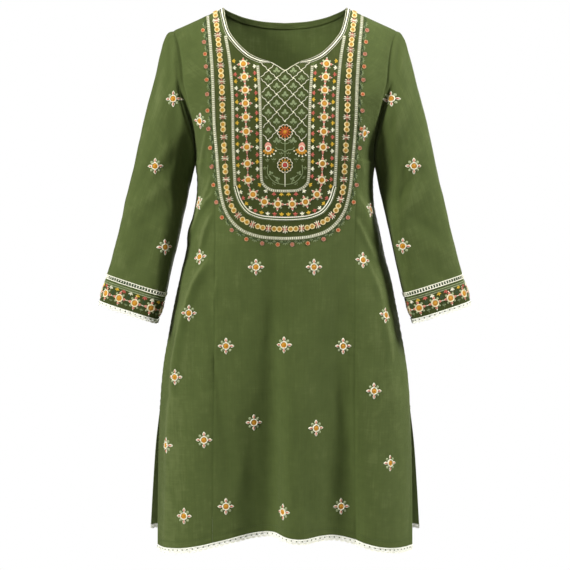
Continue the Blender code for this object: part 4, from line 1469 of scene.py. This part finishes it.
braid(yoke, whole(OUTER_U), 0.0056)
braid(yoke, whole(INNER_U), 0.0047)
for side in MIRROR.values():
    braid(yoke, MIDDLE_U[STRAIGHT:] * (side, 1), 0.0051)
path = evenly(whole(MIDDLE_U[: STRAIGHT + 1]), 0.0008)
for offset, width, tint in ((-0.0023, 0.0019, WHITE), (0.0017, 0.0015, WHITE), (0.0036, 0.0007, SAGE)):
    yoke.run(path, stitch_line(width, 0.0013), tint, offset=offset, swell=beads(path, 0.0036, 0.18))
print("yoke lines:", yoke.count, "points")

# %% Darker ground of the yoke
ground = cotton(
    "ground_cotton", pale=(0.074, 0.088, 0.026, 1.0), plain=(0.050, 0.062, 0.013, 1.0),
    deep=(0.032, 0.044, 0.008, 1.0),
)
GROUND_RISE, GROUND_ROWS = 0.00022, 200


def laid(name, sheets, find):
    """Thin sheets of (across, up) places, laid on the cloth with their edges sunk."""
    drawing = Drawing()
    for sheet in sheets:
        high = np.full(sheet.shape[:2], GROUND_RISE)
        high[[0, -1]] = high[:, [0, -1]] = SUNK
        points = np.concatenate([sheet, high[..., None]], axis=-1)
        drawing.add(shape(points, grid_faces(*high.shape), sheet, (0, 0, 0)))
    return sewn(name, drawing, find, ground)


def between(inside, outside, rows):
    """A sheet from one path to another."""
    share = np.linspace(0, 1, GROUND_ROWS)
    first, second = along(whole(inside), share), along(whole(outside), share)
    weight = np.linspace(0, 1, rows)[:, None, None]
    return first * (1 - weight) + second * weight


def neck_height(x):
    """Height of the front's upper edge: the notch, then the neckline."""
    edge = np.array([NOTCH, *NECKLINE])
    return np.interp(np.abs(x), edge[:, 0], edge[:, 1])


half = along(INNER_U, np.linspace(0, 1, GROUND_ROWS // 2))
foot, z = half[0, 1], half[:, 1]
x = np.linspace(-1, 1, 41)[:, None] * half[:, 0]
top = neck_height(x[:, -1:]) - 0.0004
z = foot + (z - foot) * (top - foot) / (z[-1] - foot)
sheets = [stack(x, np.minimum(z, top))[:, 1:]]
sheets += [between(INNER_U, MIDDLE_U, 13), between(MIDDLE_U, OUTER_U, 11)]
stitched = {"yoke_ground": laid("yoke_ground", sheets, on_front)}

# %% Motifs
ABOVE = 0.0004  # motifs on the ground stitches stand a little higher
QUARTERS = np.arange(4) * np.pi / 2
EIGHTHS, TWELFTHS = QUARTERS + np.pi / 4, np.arange(12) * np.pi / 6
BOTH_WAYS, SIDEWAYS = np.array([0, np.pi]), (np.pi / 2, -np.pi / 2)


def around(*groups):
    """A motif of shapes on circles: each group is a shape, its turns and its distance."""
    made = Drawing()
    for what, turns, distance in groups:
        turns = np.atleast_1d(turns)
        made.stamp(what, MM * distance * stack(-np.sin(turns), np.cos(turns)), turns)
    return made.joined()


flower = around(
    (petal(4.8, 4.6, 1.2, PINK, bulge=1.2), QUARTERS, 5.4),
    (blade(3.2, 2.6, 1.5, ROSE, bulge=1.2), QUARTERS, 6.0),
    (petal(4.2, 3.6, 1.0, PALE_SAGE, bulge=1.2), EIGHTHS, 5.8),
    (blade(2.0, 2.0, 1.1, CREAM), QUARTERS, 9.8),
    (dome(4.8, 1.5, GOLD, sides=14), 0, 0),
    (hoop(5.4, 2.3, 1.9, BUTTER), 0, 0),
)
link = around((blade(4.2, 2.0, 1.2, ROSE, bulge=1.0), BOTH_WAYS, 0.6), (knot(0.9, 1.3, CREAM), 0, 0))
round_pair = Drawing()
for sideways in (-0.0044, 0.0044):
    round_pair.stamp(dome(3.4, 1.3, AMBER), (sideways, 0))
    round_pair.stamp(hoop(3.9, 1.8, 1.7, STRAW, sides=16), (sideways, 0))
round_pair.add(around((blade(4.6, 1.3, 1.0, PINK), SIDEWAYS, 8.6)))
cross_sprig = around(
    (blade(7.4, 1.8, 1.3, CREAM, rows=5), BOTH_WAYS, 0),
    *((blade(4.2, 1.7, 1.2, CREAM), BOTH_WAYS + lean, 3.0) for lean in (0.62, -0.62)),
    (blade(5.2, 1.7, 1.2, PINK), SIDEWAYS, 0),
    (blade(4.0, 1.9, 1.1, PINK), EIGHTHS, 1.4),
    (knot(1.0, 1.5, CREAM), 0, 0),
)
star = around(
    (blade(4.4, 2.4, 1.1, CREAM), (0, 1.0, -1.0), 0.2),
    (blade(3.0, 1.4, 0.9, CREAM, rows=3), (2.5, -2.5), 0),
)
trefoil = around(
    (petal(6.4, 5.0, 0.9, MOSS), 0, 0.4),
    (petal(5.0, 4.2, 0.8, MOSS), (1.25, -1.25), 0.2),
    (blade(4.2, 1.1, 0.7, MOSS, rows=3), np.pi, 0),
)
leaf_pair = around(
    (blade(4.8, 2.2, 0.8, MOSS), (0.9, -0.9), 0.3),
    (blade(4.4, 1.8, 0.8, SAGE), 0, 0.3),
    (blade(3.6, 1.0, 0.7, MOSS, rows=3), np.pi, 0),
)
dark_leaves = around((blade(5.0, 2.2, 0.7, VINE, rows=3), (0.75, -0.75, 1.9, -1.9), 0.2))


def seed(core, rim):
    """A round seed with a ragged rim on two dark leaves."""
    return around(
        (knot(2.1, 1.3, core, sides=10, rings=(0.6, 1.0)), 0, 0),
        (hoop(2.6, 1.4, 1.2, rim, sides=14, waves=5, wave=0.24), 0, 0),
        (blade(4.0, 2.0, 0.8, VINE, rows=3), (2.2, -2.2), 2.6),
    )


def round_flower(petals, inner, core, ring_tint):
    """Twelve petals with gaps between them, a scalloped outline and a ringed middle."""
    return around(
        (petal(6.0, 2.6, 1.4, petals), TWELFTHS, 5.2),
        (blade(4.0, 1.3, 1.8, inner), TWELFTHS, 5.6),
        (hoop(11.3, 1.2, 1.3, CREAM, sides=72, waves=12, wave=0.15), 0, 0),
        (dome(4.2, 2.0, core, sides=14), 0, 0),
        (hoop(4.9, 1.3, 2.0, ring_tint), 0, 0),
    )


FOOT_FAN = np.pi + np.linspace(-1.15, 1.15, 6)
drop = around(
    (petal(11.8, 10.0, 1.5, PINK, bulge=1.15), 0, -3.0),
    (petal(6.2, 3.0, 1.9, RED, rows=4), 0, -0.5),
    (petal(5.6, 3.6, 1.6, GOLD, rows=4), FOOT_FAN, 3.0),
    (blade(2.6, 3.0, 1.2, CREAM), FOOT_FAN, 8.4),
    (dome(2.6, 2.2, ROSE), 0, 0),
    (hoop(3.3, 1.4, 2.1, CREAM, sides=14), 0, 0),
)
print("a flower has", len(flower.faces), "faces")

# %% Rows of motifs
FLOWERS = ((-0.5, 0.0), (0, 0.0123), (2, 0.0590), (6, 0.1670), (11, 0.2850))
PAIRS = ((-0.5, 0.0), (0, 0.0140), (3, 0.1015), (8, 0.2750), (14, 0.4480))
STARS_OUTSIDE = ((0, 0.0060), (12, 0.1500), (27, 0.3300))
STARS_INSIDE = ((0, 0.0060), (8, 0.1030), (20, 0.2440))
DOTS = ((-0.5, 0.0), (0, 0.0120), (3, 0.0890), (5, 0.1390), (11, 0.3230), (16.5, 0.4520))
GARLAND_OUT, GARLAND_WAVE, GARLAND_PITCH = 0.0062, 0.0015, 0.0140
shades = np.array([YELLOW, ROSE, CREAM])


def raised(what, by=ABOVE):
    return shape(what.points + (0, 0, by), what.faces, what.strand, what.tint)


def row(what, line, marks, first=0.0, step=1.0, offset=0.0, facing=0.0, **more):
    """Copies of a motif beside a line of the yoke, at its marks."""
    place, turn, _ = spaced(line, marks, first, step)
    yoke.stamp(what, beside(place, turn, offset), turn + facing, **more)


row(raised(flower), FLOWER_LINE, FLOWERS)
row(raised(link), FLOWER_LINE, FLOWERS, first=-0.5, facing=np.pi / 2)
row(raised(round_pair.joined()), PAIR_LINE, PAIRS)
row(raised(cross_sprig), PAIR_LINE, PAIRS, first=-0.5)
for line, marks, offset, facing in (
    (MIDDLE_U, STARS_OUTSIDE, -0.0062, np.pi), (INNER_U, STARS_INSIDE, 0.0048, 0.0),
):
    number = np.round(spaced(line, marks)[2]).astype(int)
    row(raised(star), line, marks, offset=offset, facing=facing, tint=shades[number % len(shades)])
place, turn, _ = spaced(OUTER_U, DOTS)
for first, tints in enumerate(((SALMON, BLUSH), (RUST, PEACH))):
    yoke.stamp(seed(*tints), beside(place, turn, 0.0106)[first::2], turn[first::2] + np.pi)
path = evenly(whole(OUTER_U), 0.0012)
wave = GARLAND_OUT + GARLAND_WAVE * np.sin(lengths(path) * (2 * np.pi / GARLAND_PITCH))
yoke.run(path, stitch_line(0.0012, 0.0007), VINE, offset=wave)
row(dark_leaves, OUTER_U, DOTS, -0.5, 0.5, GARLAND_OUT)
row(leaf_pair, OUTER_U, DOTS, -0.5, 1.0, 0.0066, size=1.2)
row(star, OUTER_U, DOTS, -0.25, 0.5, 0.0046, size=0.9, tint=MOSS)
print("rows of motifs:", yoke.count, "points so far")

# %% Trellis and stems
CELL_X, TRELLIS_SIDES, LEAF_DROP, WAVER, MARGIN = 0.0142, 3, 0.0028, 0.0009, 0.0030
FOOT = 8  # below this half row the middle cell is left open for the flower
NODE_Z = (-0.0918, -0.1208, -0.1482, -0.1777, -0.2094, -0.2422)


def strip(points, width, rise=0.0009, tint=CREAM):
    path = evenly(points, 0.0011)
    yoke.run(path, stitch_line(width, rise), tint, swell=beads(path, 0.0022, 0.25))


def inside(x, z, beside, below):
    """Whether places are in the panel within the inner U, that far from its side and
    from the front's upper edge."""
    half = np.interp(z, INNER_U[STRAIGHT:, 1], INNER_U[STRAIGHT:, 0]) - MARGIN
    return (np.abs(x) < half - beside) & (z < neck_height(x) - below)


def clipped(start, end):
    """The part of a line that lies inside the panel, with a small wave along it."""
    share = np.linspace(0, 1, 25)[:, None]
    line = np.array(start) * (1 - share) + np.array(end) * share
    line[:, 0] += WAVER * np.sin(share[:, 0] * np.pi * 4)
    return line[inside(*line.T, 0.0, 0.0012)]


levels = np.interp(np.arange(2 * len(NODE_Z) - 1) / 2, np.arange(len(NODE_Z)), NODE_Z)
for i in range(len(levels) - 1):
    for j in range(-TRELLIS_SIDES - 1, TRELLIS_SIDES + 1):
        first, second = (j, j + 1) if (i + j) % 2 == 0 else (j + 1, j)
        line = clipped((CELL_X * first, levels[i]), (CELL_X * second, levels[i + 1]))
        if len(line) > 3 and (i < FOOT or 0 not in (first, second)):
            strip(line, 0.0012, 0.0010, IVORY)
columns = range(-TRELLIS_SIDES, TRELLIS_SIDES + 1)
spots = [((i + j) % 2, CELL_X * j, levels[i]) for i in range(1, len(levels)) for j in columns]
nodes = [(x, z) for odd, x, z in spots if not odd and inside(x, z, 0.0, 0.004)]
yoke.stamp(knot(1.5, 1.3, CREAM), nodes)
leaves = [(x, z - LEAF_DROP) for odd, x, z in spots if odd]
leaves = [
    (x, z) for x, z in leaves if inside(x, z, 0.004, 0.009) and (z > levels[FOOT] or abs(x) > 0.001)
]
yoke.stamp(trefoil, leaves, size=1.32)
print("trellis:", len(nodes), "nodes,", len(leaves), "leaves")

# %% Flowers, drops and stems of the panel
STEMS = (
    metres((0, -262), (6, -258), (12, -257.5), (16.5, -253)),
    metres((0, -248), (4.5, -247), (8, -244)),
    metres((0, -317), (12, -315), (23, -308), (30, -295), (29, -283)),
    metres((11, -315), (15, -306), (21, -301)),
)
yoke.stamp(round_flower(ORANGE, RED, GOLD, RUST), metres((0, -227.7)))
yoke.stamp(round_flower(GOLD, ROSE, RED, CREAM), metres((0, -283.7)))
yoke.stamp(drop, metres((-28.2, -256), (28.2, -256)), turn=(0.12, -0.12), size=1.36)
strip(metres((0, -241), (0, -250), (0, -265), (0, -270.5)), 0.0017, tint=SAGE)
strip(metres((0, -297), (0, -306), (0, -320.9)), 0.0016)
for side in MIRROR.values():
    flip = (side, 1)
    for stem in STEMS:
        strip(stem * flip, 0.0015, tint=SAGE)
    yoke.stamp(leaf_pair, metres((10, -244), (6.2, -266), (19, -276)) * flip, size=1.15)
    yoke.stamp(trefoil, metres((12, -309), (23.5, -299)) * flip, -0.5 * side, 0.95)
    yoke.stamp(leaf_pair, metres((20, -316.5), (33, -306)) * flip, 0.7 * side)
    yoke.stamp(star, metres((30, -276.5), (34.5, -290)) * flip, tint=SAGE)
notch_edge = whole(np.array([(0.0, NOTCH[1] - 0.0008), (0.0125, -0.1132), (0.0250, -0.1062)]))
path = evenly(notch_edge, 0.0009)
yoke.run(path, stitch_line(0.0014, 0.0010), CREAM, swell=beads(path, 0.0022, 0.3))
stitched["yoke"] = sewn("yoke_embroidery", yoke, on_front)

# %% [markdown]
# ## Scattered flowers
#
# Small flowers, four large petals and four leaves round a golden middle, are scattered
# over the skirt, the sleeves and the back. Each is laid in its own upright tangent
# plane, so that it keeps its shape where the cloth turns away.

# %% The scattered flower
small_flower = around(
    (petal(9.0, 6.0, 1.2, IVORY, bulge=0.95), QUARTERS, 5.6),
    (petal(7.4, 4.8, 1.6, PINK, bulge=0.95), QUARTERS, 6.0),
    (blade(5.4, 3.1, 2.0, RED, bulge=0.95), QUARTERS, 6.6),
    (petal(6.2, 5.4, 1.2, PALE_SAGE, bulge=1.15), EIGHTHS, 6.2),
    (blade(3.6, 2.8, 1.5, MOSS, bulge=1.1), EIGHTHS, 7.4),
    (dome(5.2, 1.8, GOLD, sides=14), 0, 0),
    (hoop(5.7, 2.0, 2.1, CREAM, sides=20), 0, 0),
    (knot(2.4, 2.4, DEEP_GOLD, sides=10), 0, 0),
)
FRONT_FLOWERS = metres(
    (-146.9, -205.3), (-150, -345.9), (-147.6, -440.4), (-166, -537.1), (-190.3, -647.9),
    (-206, -766.6), (-173.4, -884.7), (137, -226.7), (148.7, -358.4), (134.7, -445.5),
    (174.6, -541.3), (152.9, -670.3), (181.1, -795.4), (-49.6, -457.2), (49.5, -457.1),
    (-101.1, -592.6), (-1.7, -589.7), (99.8, -593.2), (-53.3, -723.7), (52.9, -731.7),
    (-138.8, -753.5), (-101.3, -867.4), (-3.4, -874.9), (96.7, -870.3),
)
BACK_FLOWERS = metres(
    (-96, -90), (2, -80), (98, -92), (-48, -155), (50, -160), (-138, -190), (140, -186),
    (-96, -242), (1, -240), (97, -244), (-49, -320), (48, -324), (-138, -335), (140, -333),
    (-98, -405), (2, -406), (99, -403), (-153, -470), (156, -468), (-52, -485), (53, -488),
    (-106, -570), (0, -572), (105, -568), (-176, -608), (178, -605), (-56, -660), (56, -664),
    (-120, -730), (2, -742), (122, -728), (-196, -765), (197, -761), (-60, -818), (62, -820),
    (-138, -870), (2, -883), (138, -868),
)
SLEEVE_FLOWERS = {
    "left": metres((-194, -165.8), (-225.8, -282.4), (-208.2, -423.1)),
    "right": metres((184, -165.4), (224, -282.4), (204.9, -421.3)),
}
SLEEVE_BACK_FLOWERS = metres((208, -125), (221, -235), (248, -335), (238, -435))


def tangent_frames(points, out):
    """Across and up in the tangent plane, as level and as upright as it allows."""
    across = unit(ACROSS - out * out[:, :1])
    up = np.cross(across, out)
    return across, up * np.sign(up[:, 2:])


def scattered(name, find, places):
    """One piece of small flowers on a surface: their middles are found in the room's
    own directions, and the rest in tangent planes."""
    points, out = find(places)
    flowers = Drawing()
    flowers.stamp(small_flower, 0 * places)
    each = len(small_flower.points)
    frames = [np.repeat(v, each, axis=0) for v in (*tangent_frames(points, out), points)]
    return sewn(name, flowers, lambda flat: find(flat, *frames))


stitched["front_flowers"] = scattered("front_flowers", on_front, FRONT_FLOWERS)
stitched["back_flowers"] = scattered("back_flowers", on_back, BACK_FLOWERS)
for side, mirror in MIRROR.items():
    surface = Surface(ring(sleeves[side]), ring(sleeve_normals[side]))
    for name, start, places in (
        (f"sleeve_flowers_{side}", -0.08, SLEEVE_FLOWERS[side]),
        (f"sleeve_back_flowers_{side}", 0.08, SLEEVE_BACK_FLOWERS * (mirror, 1)),
    ):
        stitched[name] = scattered(name, finder(surface, surface, start), places)

# %% [markdown]
# ## Borders
#
# Cuffs, hems and slits are worked along an edge of the cloth. Their drawings are
# measured along the edge and away from it, and a lace also hangs over it, straight on
# in the direction in which the cloth ends.

# %% Places along an edge
LEVELS, BORDER_REACH, HAIR = 80, 0.062, 1e-6


def rows_at(grid, wanted):
    """For each column, the rows (with fractions) at distances from the first row."""
    rows = np.arange(len(grid))
    return np.stack([np.interp(wanted, line, rows) for line in lengths(grid).T], axis=1)


class Border:
    """An edge of cloth. Its grid has the edge as its first row, and a closed one ends
    with its first column again."""

    def __init__(self, grid, normal, closed=False):
        self.surface, self.closed = Surface(grid, normal), closed
        self.along = lengths(grid[0])
        self.length = self.along[-1]
        self.rows = rows_at(grid, np.linspace(0, BORDER_REACH, LEVELS + 1))[..., None]

    def __call__(self, flat):
        """Points and normals at distances along the edge and away from it."""
        run, away = flat[:, 0], flat[:, 1]
        if self.closed:  # places that reach the edge's own end are at its start
            run = np.mod(run + HAIR, self.length) - HAIR
        across = np.interp(run, self.along, np.arange(len(self.along)))
        place = stack(away / BORDER_REACH * LEVELS, across)
        rows = blended(self.rows, np.clip(place, 0, (LEVELS - HAIR, len(self.along) - 1 - HAIR)))
        point, out, upward, _ = self.surface.read(stack(rows[:, 0], across))
        return point + np.minimum(away, 0)[:, None] * unit(upward), unit(out)


borders = {}
for side in MIRROR:
    turned = np.s_[::-1, ::-1] if side == "left" else np.s_[::-1]
    grid, normal = (ring(kind[side])[turned] for kind in (sleeves, sleeve_normals))
    borders["cuff", side] = Border(grid, normal, closed=True)
for name, first, second in (("front", "left", "right"), ("back", "right", "left")):
    halves = [(kind[name, first][:, :0:-1], kind[name, second]) for kind in (body, normals)]
    borders["hem", name] = Border(*(np.concatenate(pair, axis=1) for pair in halves))
    for side in MIRROR:
        low = np.s_[: ROWS_SLIT + 1, ::-1]
        grid, normal = (kind[name, side][low].transpose(1, 0, 2) for kind in (body, normals))
        borders["slit", name, side] = Border(grid, normal)
for key, border in borders.items():
    print("border", *key, f"{1000 * border.length:.0f} mm long")

# %% [markdown]
# ## Cuff borders
#
# A ladder braid heads each cuff. Under it run three fine lines, a row of small stars in
# three colours, and a chain of golden flowers on a darker ground.

# %% Cuffs
CUFF_FLOWERS, CUFF_STARS, FLOWER_UP, STAR_UP = 12, 27, 0.0172, 0.0318
CUFF_LINES = ((0.0376, 0.0012, PALE_SAGE), (0.0357, 0.0007, MOSS), (0.0339, 0.0014, PALE_SAGE))
CUFF_GROUND = np.linspace(0.0008, 0.0330, 15)  # rows of the darker ground
RAILS, RUNG_PITCH = (0.0424, 0.0487), 0.0050
emerald = petal(11.0, 12.0, 0.4, EMERALD, bulge=0.7)
rung = blade(6.2, 2.9, 1.4, WHITE, bulge=1.3)
chain = around(
    (blade(4.2, 2.1, 1.2, ROSE), SIDEWAYS, 1.2),
    (blade(2.6, 1.5, 1.2, PINK, rows=3), SIDEWAYS, 5.0),
    (knot(1.0, 1.4, CREAM), 0, 0),
)


def level_line(border, away):
    """A line along the whole edge, at a distance from it."""
    return stack(np.append(np.arange(0, border.length, 0.0009), border.length), away)


def level_places(border, count, away, shift=0.5):
    return stack((np.arange(count) + shift) * border.length / count, away)


def level_cord(drawing, border, away, size, tint, pitch, depth):
    """A beaded cord along the whole edge, whose size is its width and its height."""
    path = level_line(border, away)
    drawing.run(path, stitch_line(*size), tint, swell=beads(path, pitch, depth), ends=1.0)


def cuff(side):
    border = borders["cuff", side]
    sheet = stack(level_line(border, 0.0)[::2, 0], CUFF_GROUND[:, None])
    made = [laid(f"cuff_ground_{side}", [sheet], border)]
    work = Drawing()
    for away, width, tint in CUFF_LINES:
        level_cord(work, border, away, (width, 0.0010), tint, 0.0024, 0.25)
    between_them = level_places(border, CUFF_FLOWERS, FLOWER_UP, 0.0)
    work.stamp(emerald, between_them + (0, 0.0010))
    work.stamp(emerald, between_them - (0, 0.0020), np.pi, 0.7)
    work.stamp(raised(flower), level_places(border, CUFF_FLOWERS, FLOWER_UP), size=1.12)
    work.stamp(raised(chain), between_them)
    tints = shades[np.arange(CUFF_STARS) % len(shades)]
    work.stamp(raised(star), level_places(border, CUFF_STARS, STAR_UP), np.pi, 1.1, tints)
    work.stamp(raised(leaf_pair), between_them - (0, 0.0095), size=0.9)
    made.append(sewn(f"cuff_embroidery_{side}", work, border))
    ladder = Drawing()
    for away in RAILS:
        level_cord(ladder, border, away, (0.0018, 0.0016), WHITE, 0.0025, 0.2)
    ladder.run(level_line(border, sum(RAILS) / 2), stitch_line(0.0056, 0.0004), EMERALD, ends=1.0)
    rungs = level_places(border, int(border.length / RUNG_PITCH), RAILS[0] + 0.0001)
    ladder.stamp(raised(rung, 0.0002), rungs)
    made.append(sewn(f"cuff_braid_{side}_ladder", ladder, border))
    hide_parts(f"cuff_braid_{side}")
    return made


for side in MIRROR:
    stitched[f"cuff_{side}"] = cuff(side)

# %% [markdown]
# ## Lace
#
# A narrow lace hangs below each cuff and hem. One scallop is a small sheet with a round
# hole, made of rings between the hole and the outline, and it is repeated along the
# edge with its neighbours welded. A cord follows the scallops, a dark knot lies between
# each two, satin petals stand round the holes, and the net is see-through.

# %% Lace
SCALLOP, OVERLAP, EYE, LACE_THICK, NET = 0.0096, 0.0012, 0.0010, 0.0005, 0.0014
ROUND = 0.42  # share of the drop that is the round foot
FOOT_CORNERS = np.s_[7:15]  # those of the round foot, in the outline
EYE_SHARES = np.array([0.0, 0.4, 0.7, 1.0])[:, None, None]
SNOW = (0.975, 0.970, 0.860)
satin_fan = around(
    (blade(2.4, 1.4, 1.2, SNOW, rows=3, bulge=1.1), np.linspace(0.55, 2 * np.pi - 0.55, 7), 1.2)
)


def lace_net(name):
    """Cream net: a fine grid of see-through holes, with uneven threads between them."""
    finish = Finish(name, Roughness=0.82, Specular_IOR_Level=0.2)
    place = finish.node("UVMap", {"uv_map": "weave"}, {})
    u, v, _ = finish.split(place)
    turn = 2 * np.pi / NET
    cells = (u * turn).sine() * (v * turn).sine()
    uneven = finish.noise(place, 900.0, 2.0)
    colour = finish.mix(uneven, (0.820, 0.810, 0.690, 1.0), (0.980, 0.970, 0.880, 1.0))
    finish.shade(Base_Color=colour, Alpha=(4.2 - cells * 6.0).clamp())
    finish.bump(uneven - cells * 0.6, 0.5, 0.0003)
    return finish.material


net = lace_net("cream_net")


def scallop_outline(width, drop):
    """The outline of one scallop, anticlockwise from its upper right: along the top, down
    the side, round the foot, and up again."""
    rise = ROUND * drop
    side_z = np.linspace(OVERLAP, rise - drop, 4)
    foot_x = np.linspace(-width / 2, width / 2, 9)
    foot = stack(foot_x, rise - drop - rise * np.sqrt(1 - (2 * foot_x / width) ** 2))
    top = stack(np.linspace(width / 2, -width / 2, 5), OVERLAP)
    left, right = stack(-width / 2, side_z), stack(width / 2, side_z[::-1])
    return np.concatenate([top[:-1], left[:-1], foot[:-1], right[:-1]])


def lace(name, border, drop):
    """Net, petals and cords of one lace, `drop` deep, all along a border."""
    count = int(round(border.length / SCALLOP))
    width = border.length / count
    middles = level_places(border, count, 0.0)
    outline = scallop_outline(width, drop)
    eye = np.array([0.0, -ROUND * drop])
    spokes = unit(outline - eye) * EYE
    rings = eye + spokes + (outline - eye - spokes) * EYE_SHARES
    index = np.arange(rings[..., 0].size).reshape(len(rings), -1)
    flat = (rings.reshape(-1, 2) + middles[:, None]).reshape(-1, 2)
    faces = (closed_faces(index) + index.size * np.arange(count)[:, None, None]).reshape(-1, 4)
    points, out = border(flat)
    sheet = shell(f"{name}_net", points + out * LACE_THICK, out, flat, faces, LACE_THICK, net, "lace")
    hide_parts(name)
    work = Drawing()
    level_cord(work, border, 0.0002, (0.0018, 0.0016), SNOW, 0.0048, 0.3)
    foot = (outline[FOOT_CORNERS] + middles[:, None]).reshape(-1, 2)
    work.run(evenly(foot, 0.0008), stitch_line(0.0013, 0.0013), SNOW, ends=1.0)
    work.stamp(knot(1.3, 1.3, EMERALD), middles - (width / 2, 0.28 * drop))
    work.stamp(satin_fan, middles + eye)
    print(f"{name}: {count} scallops, {1000 * width:.1f} mm each")
    return [sheet, sewn(f"{name}_threads", work, border)]


laces = {("cuff", side): CUFF_LACE for side in MIRROR} | {("hem", name): HEM_LACE for name in HALVES}
for (edge, which), drop in laces.items():
    name = f"{edge}_lace_{which}"
    stitched[name] = lace(name, borders[edge, which], drop)

# %% [markdown]
# ## Neck band, facing and plain sewing
#
# The band round the front neck is a strip of the cloth with a broad white cord between
# two fine ones. A narrow facing lies inside the back neck. Hems and slits are turned in
# and topstitched, and a short satin bar holds the top of each slit.

# %% Neck bands
BAND_HIGH, BAND_TAPER, BAND_TIP = 0.0010, 0.020, 0.42
NECK_CORDS = (  # distance from the neck's edge, width, height, pitch of the beads, colour
    (0.0008, 0.0010, 0.0017, 0.0019, IVORY),
    (0.0042, 0.0026, 0.0026, 0.0027, WHITE),
    (0.0076, 0.0010, 0.0017, 0.0019, IVORY),
)


def neck_band(side):
    mirror = MIRROR[side]
    path = evenly(NECKLINE, 0.0008) * (mirror, 1)
    full = BAND_TIP + (1 - BAND_TIP) * ease(lengths(path) / BAND_TAPER)
    half = NECK_BAND / 2
    base, cords = Drawing(), Drawing()
    section = [(-half, SUNK), (0.0004 - half, BAND_HIGH), (half - 0.0004, BAND_HIGH), (half, SUNK)]
    base.run(path, section, (0, 0, 0), offset=mirror * half * full, swell=full, ends=1.0)
    strip_of_cloth = sewn(f"neck_band_{side}_strip", base, on_front, ground)
    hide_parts(f"neck_band_{side}")
    for away, width, high, pitch, tint in NECK_CORDS:
        swell = full * beads(path, pitch, 0.28)
        cords.run(path, stitch_line(width, high), tint, offset=mirror * away * full, swell=swell, ends=0.6)
    return [strip_of_cloth, sewn(f"neck_band_{side}_cords", cords, on_front)]


for side in MIRROR:
    stitched[f"neck_band_{side}"] = neck_band(side)

# %% Facing inside the back neck
FACING_ROWS, FACING_LIFT = 9, 0.0004


def facing_half(side):
    """The top of the back half's grid, row by row down to the facing's width, moved in
    through the cloth."""
    grid, normal = (kind["back", side][::-1, : INNER_COLUMNS + 1] for kind in (body, normals))
    rows = rows_at(grid, np.linspace(0.0004, NECK_FACING, FACING_ROWS))
    place = stack(rows, np.arange(INNER_COLUMNS + 1)).reshape(-1, 2)
    point, out = (v.reshape(*rows.shape, 3) for v in Surface(grid, normal).read(place)[:2])
    moved = point - unit(out) * (CLOTH + FACING_LIFT)
    return moved, unit(out), weave_place(moved)


facing_parts = [facing_half(side) for side in MIRROR]
facing = wall("back_neck_facing_cloth", facing_parts, TRIM, olive, "cotton")
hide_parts("back_neck_facing")
panels["back_neck_facing"] = facing
cuts["back_neck_facing"] = [part[0] for part in facing_parts]

# %% Topstitching
STITCH_PITCH = 0.0036
dash = blade(2.6, 0.8, 0.5, STITCH, rows=3, bulge=1.0, start=-1.3)
bar = blade(9.0, 2.2, 1.0, STITCH, rows=5, bulge=1.0)


def topstitched(name, work_on):
    """Short stitches along the borders (border, distance from the edge), as one piece."""
    parts, laid_out = Drawing(), []
    for border, away in work_on:
        line = Drawing()
        line.stamp(dash, level_places(border, int(border.length / STITCH_PITCH), away), -np.pi / 2)
        if away == SLIT_FOLD:
            line.stamp(bar, (border.length - 0.001, 0.0))
        made = line.joined()
        parts.add(made)
        laid_out.append(border(made.points))
    return sewn(name, parts, lambda _: map(np.concatenate, zip(*laid_out)))


for name in HALVES:
    lines = [(borders["hem", name], HEM_FOLD)]
    lines += [(borders["slit", name, side], SLIT_FOLD) for side in MIRROR]
    stitched[f"{name}_stitches"] = topstitched(f"{name}_stitches", lines)

# %% [markdown]
# ## What the cloth was cut to
#
# Every sheet of cloth has its own cut printed, measured on its grid. The trims that are sewn to it are handed
# to `declare` as well, but nothing there reads them.

# %% Sheets
CARRIES = {
    "front_centre": (
        "yoke_ground", "yoke", "front_flowers", "front_stitches", "hem_lace_front",
        "neck_band_left", "neck_band_right",
    ),
    "back": ("back_flowers", "back_stitches", "hem_lace_back"),
    "sleeve_left": ("sleeve_flowers_left", "sleeve_back_flowers_left", "cuff_left", "cuff_lace_left"),
    "sleeve_right": ("sleeve_flowers_right", "sleeve_back_flowers_right", "cuff_right", "cuff_lace_right"),
}
for name, piece in panels.items():
    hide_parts(name)
    carried = [stitched[key] for key in CARRIES.get(name, ())]
    carried = [piece for group in carried for piece in (group if isinstance(group, list) else [group])]
    declare(piece, cuts[name], with_pieces=carried)

# %% [markdown]
# ## Floor
#
# A pale round floor lies where a wearer would stand. Its edge fades out, so that no
# horizon cuts the backdrop.

# %% Floor, and the parts still plain
FLOOR_Z, FLOOR_RADIUS = -1.42, 1.1
turn = np.linspace(0, 2 * np.pi, 96, endpoint=False)
reach = np.array([0.02, 0.5, 1.0])[:, None] * FLOOR_RADIUS
disc = stack(reach * np.cos(turn), reach * np.sin(turn), FLOOR_Z)
pale = Finish("pale_floor", Base_Color=(0.86, 0.86, 0.85, 1.0), Roughness=0.9, Specular_IOR_Level=0.2)
x, y, _ = pale.split(pale.node("TexCoord", {}, {}, out=3))
away = (x * x + y * y).power(0.5) * (1 / FLOOR_RADIUS)
pale.shade(Alpha=(3.0 - away * 3.2).clamp())
round_floor = ring(disc)
faces = grid_faces(*round_floor.shape[:2])[:, ::-1]
floor = new_mesh("floor", round_floor.reshape(-1, 3), faces, pale.material)

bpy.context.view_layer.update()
for name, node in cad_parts.items():
    if not node.hide_render:
        print("still plain:", name)
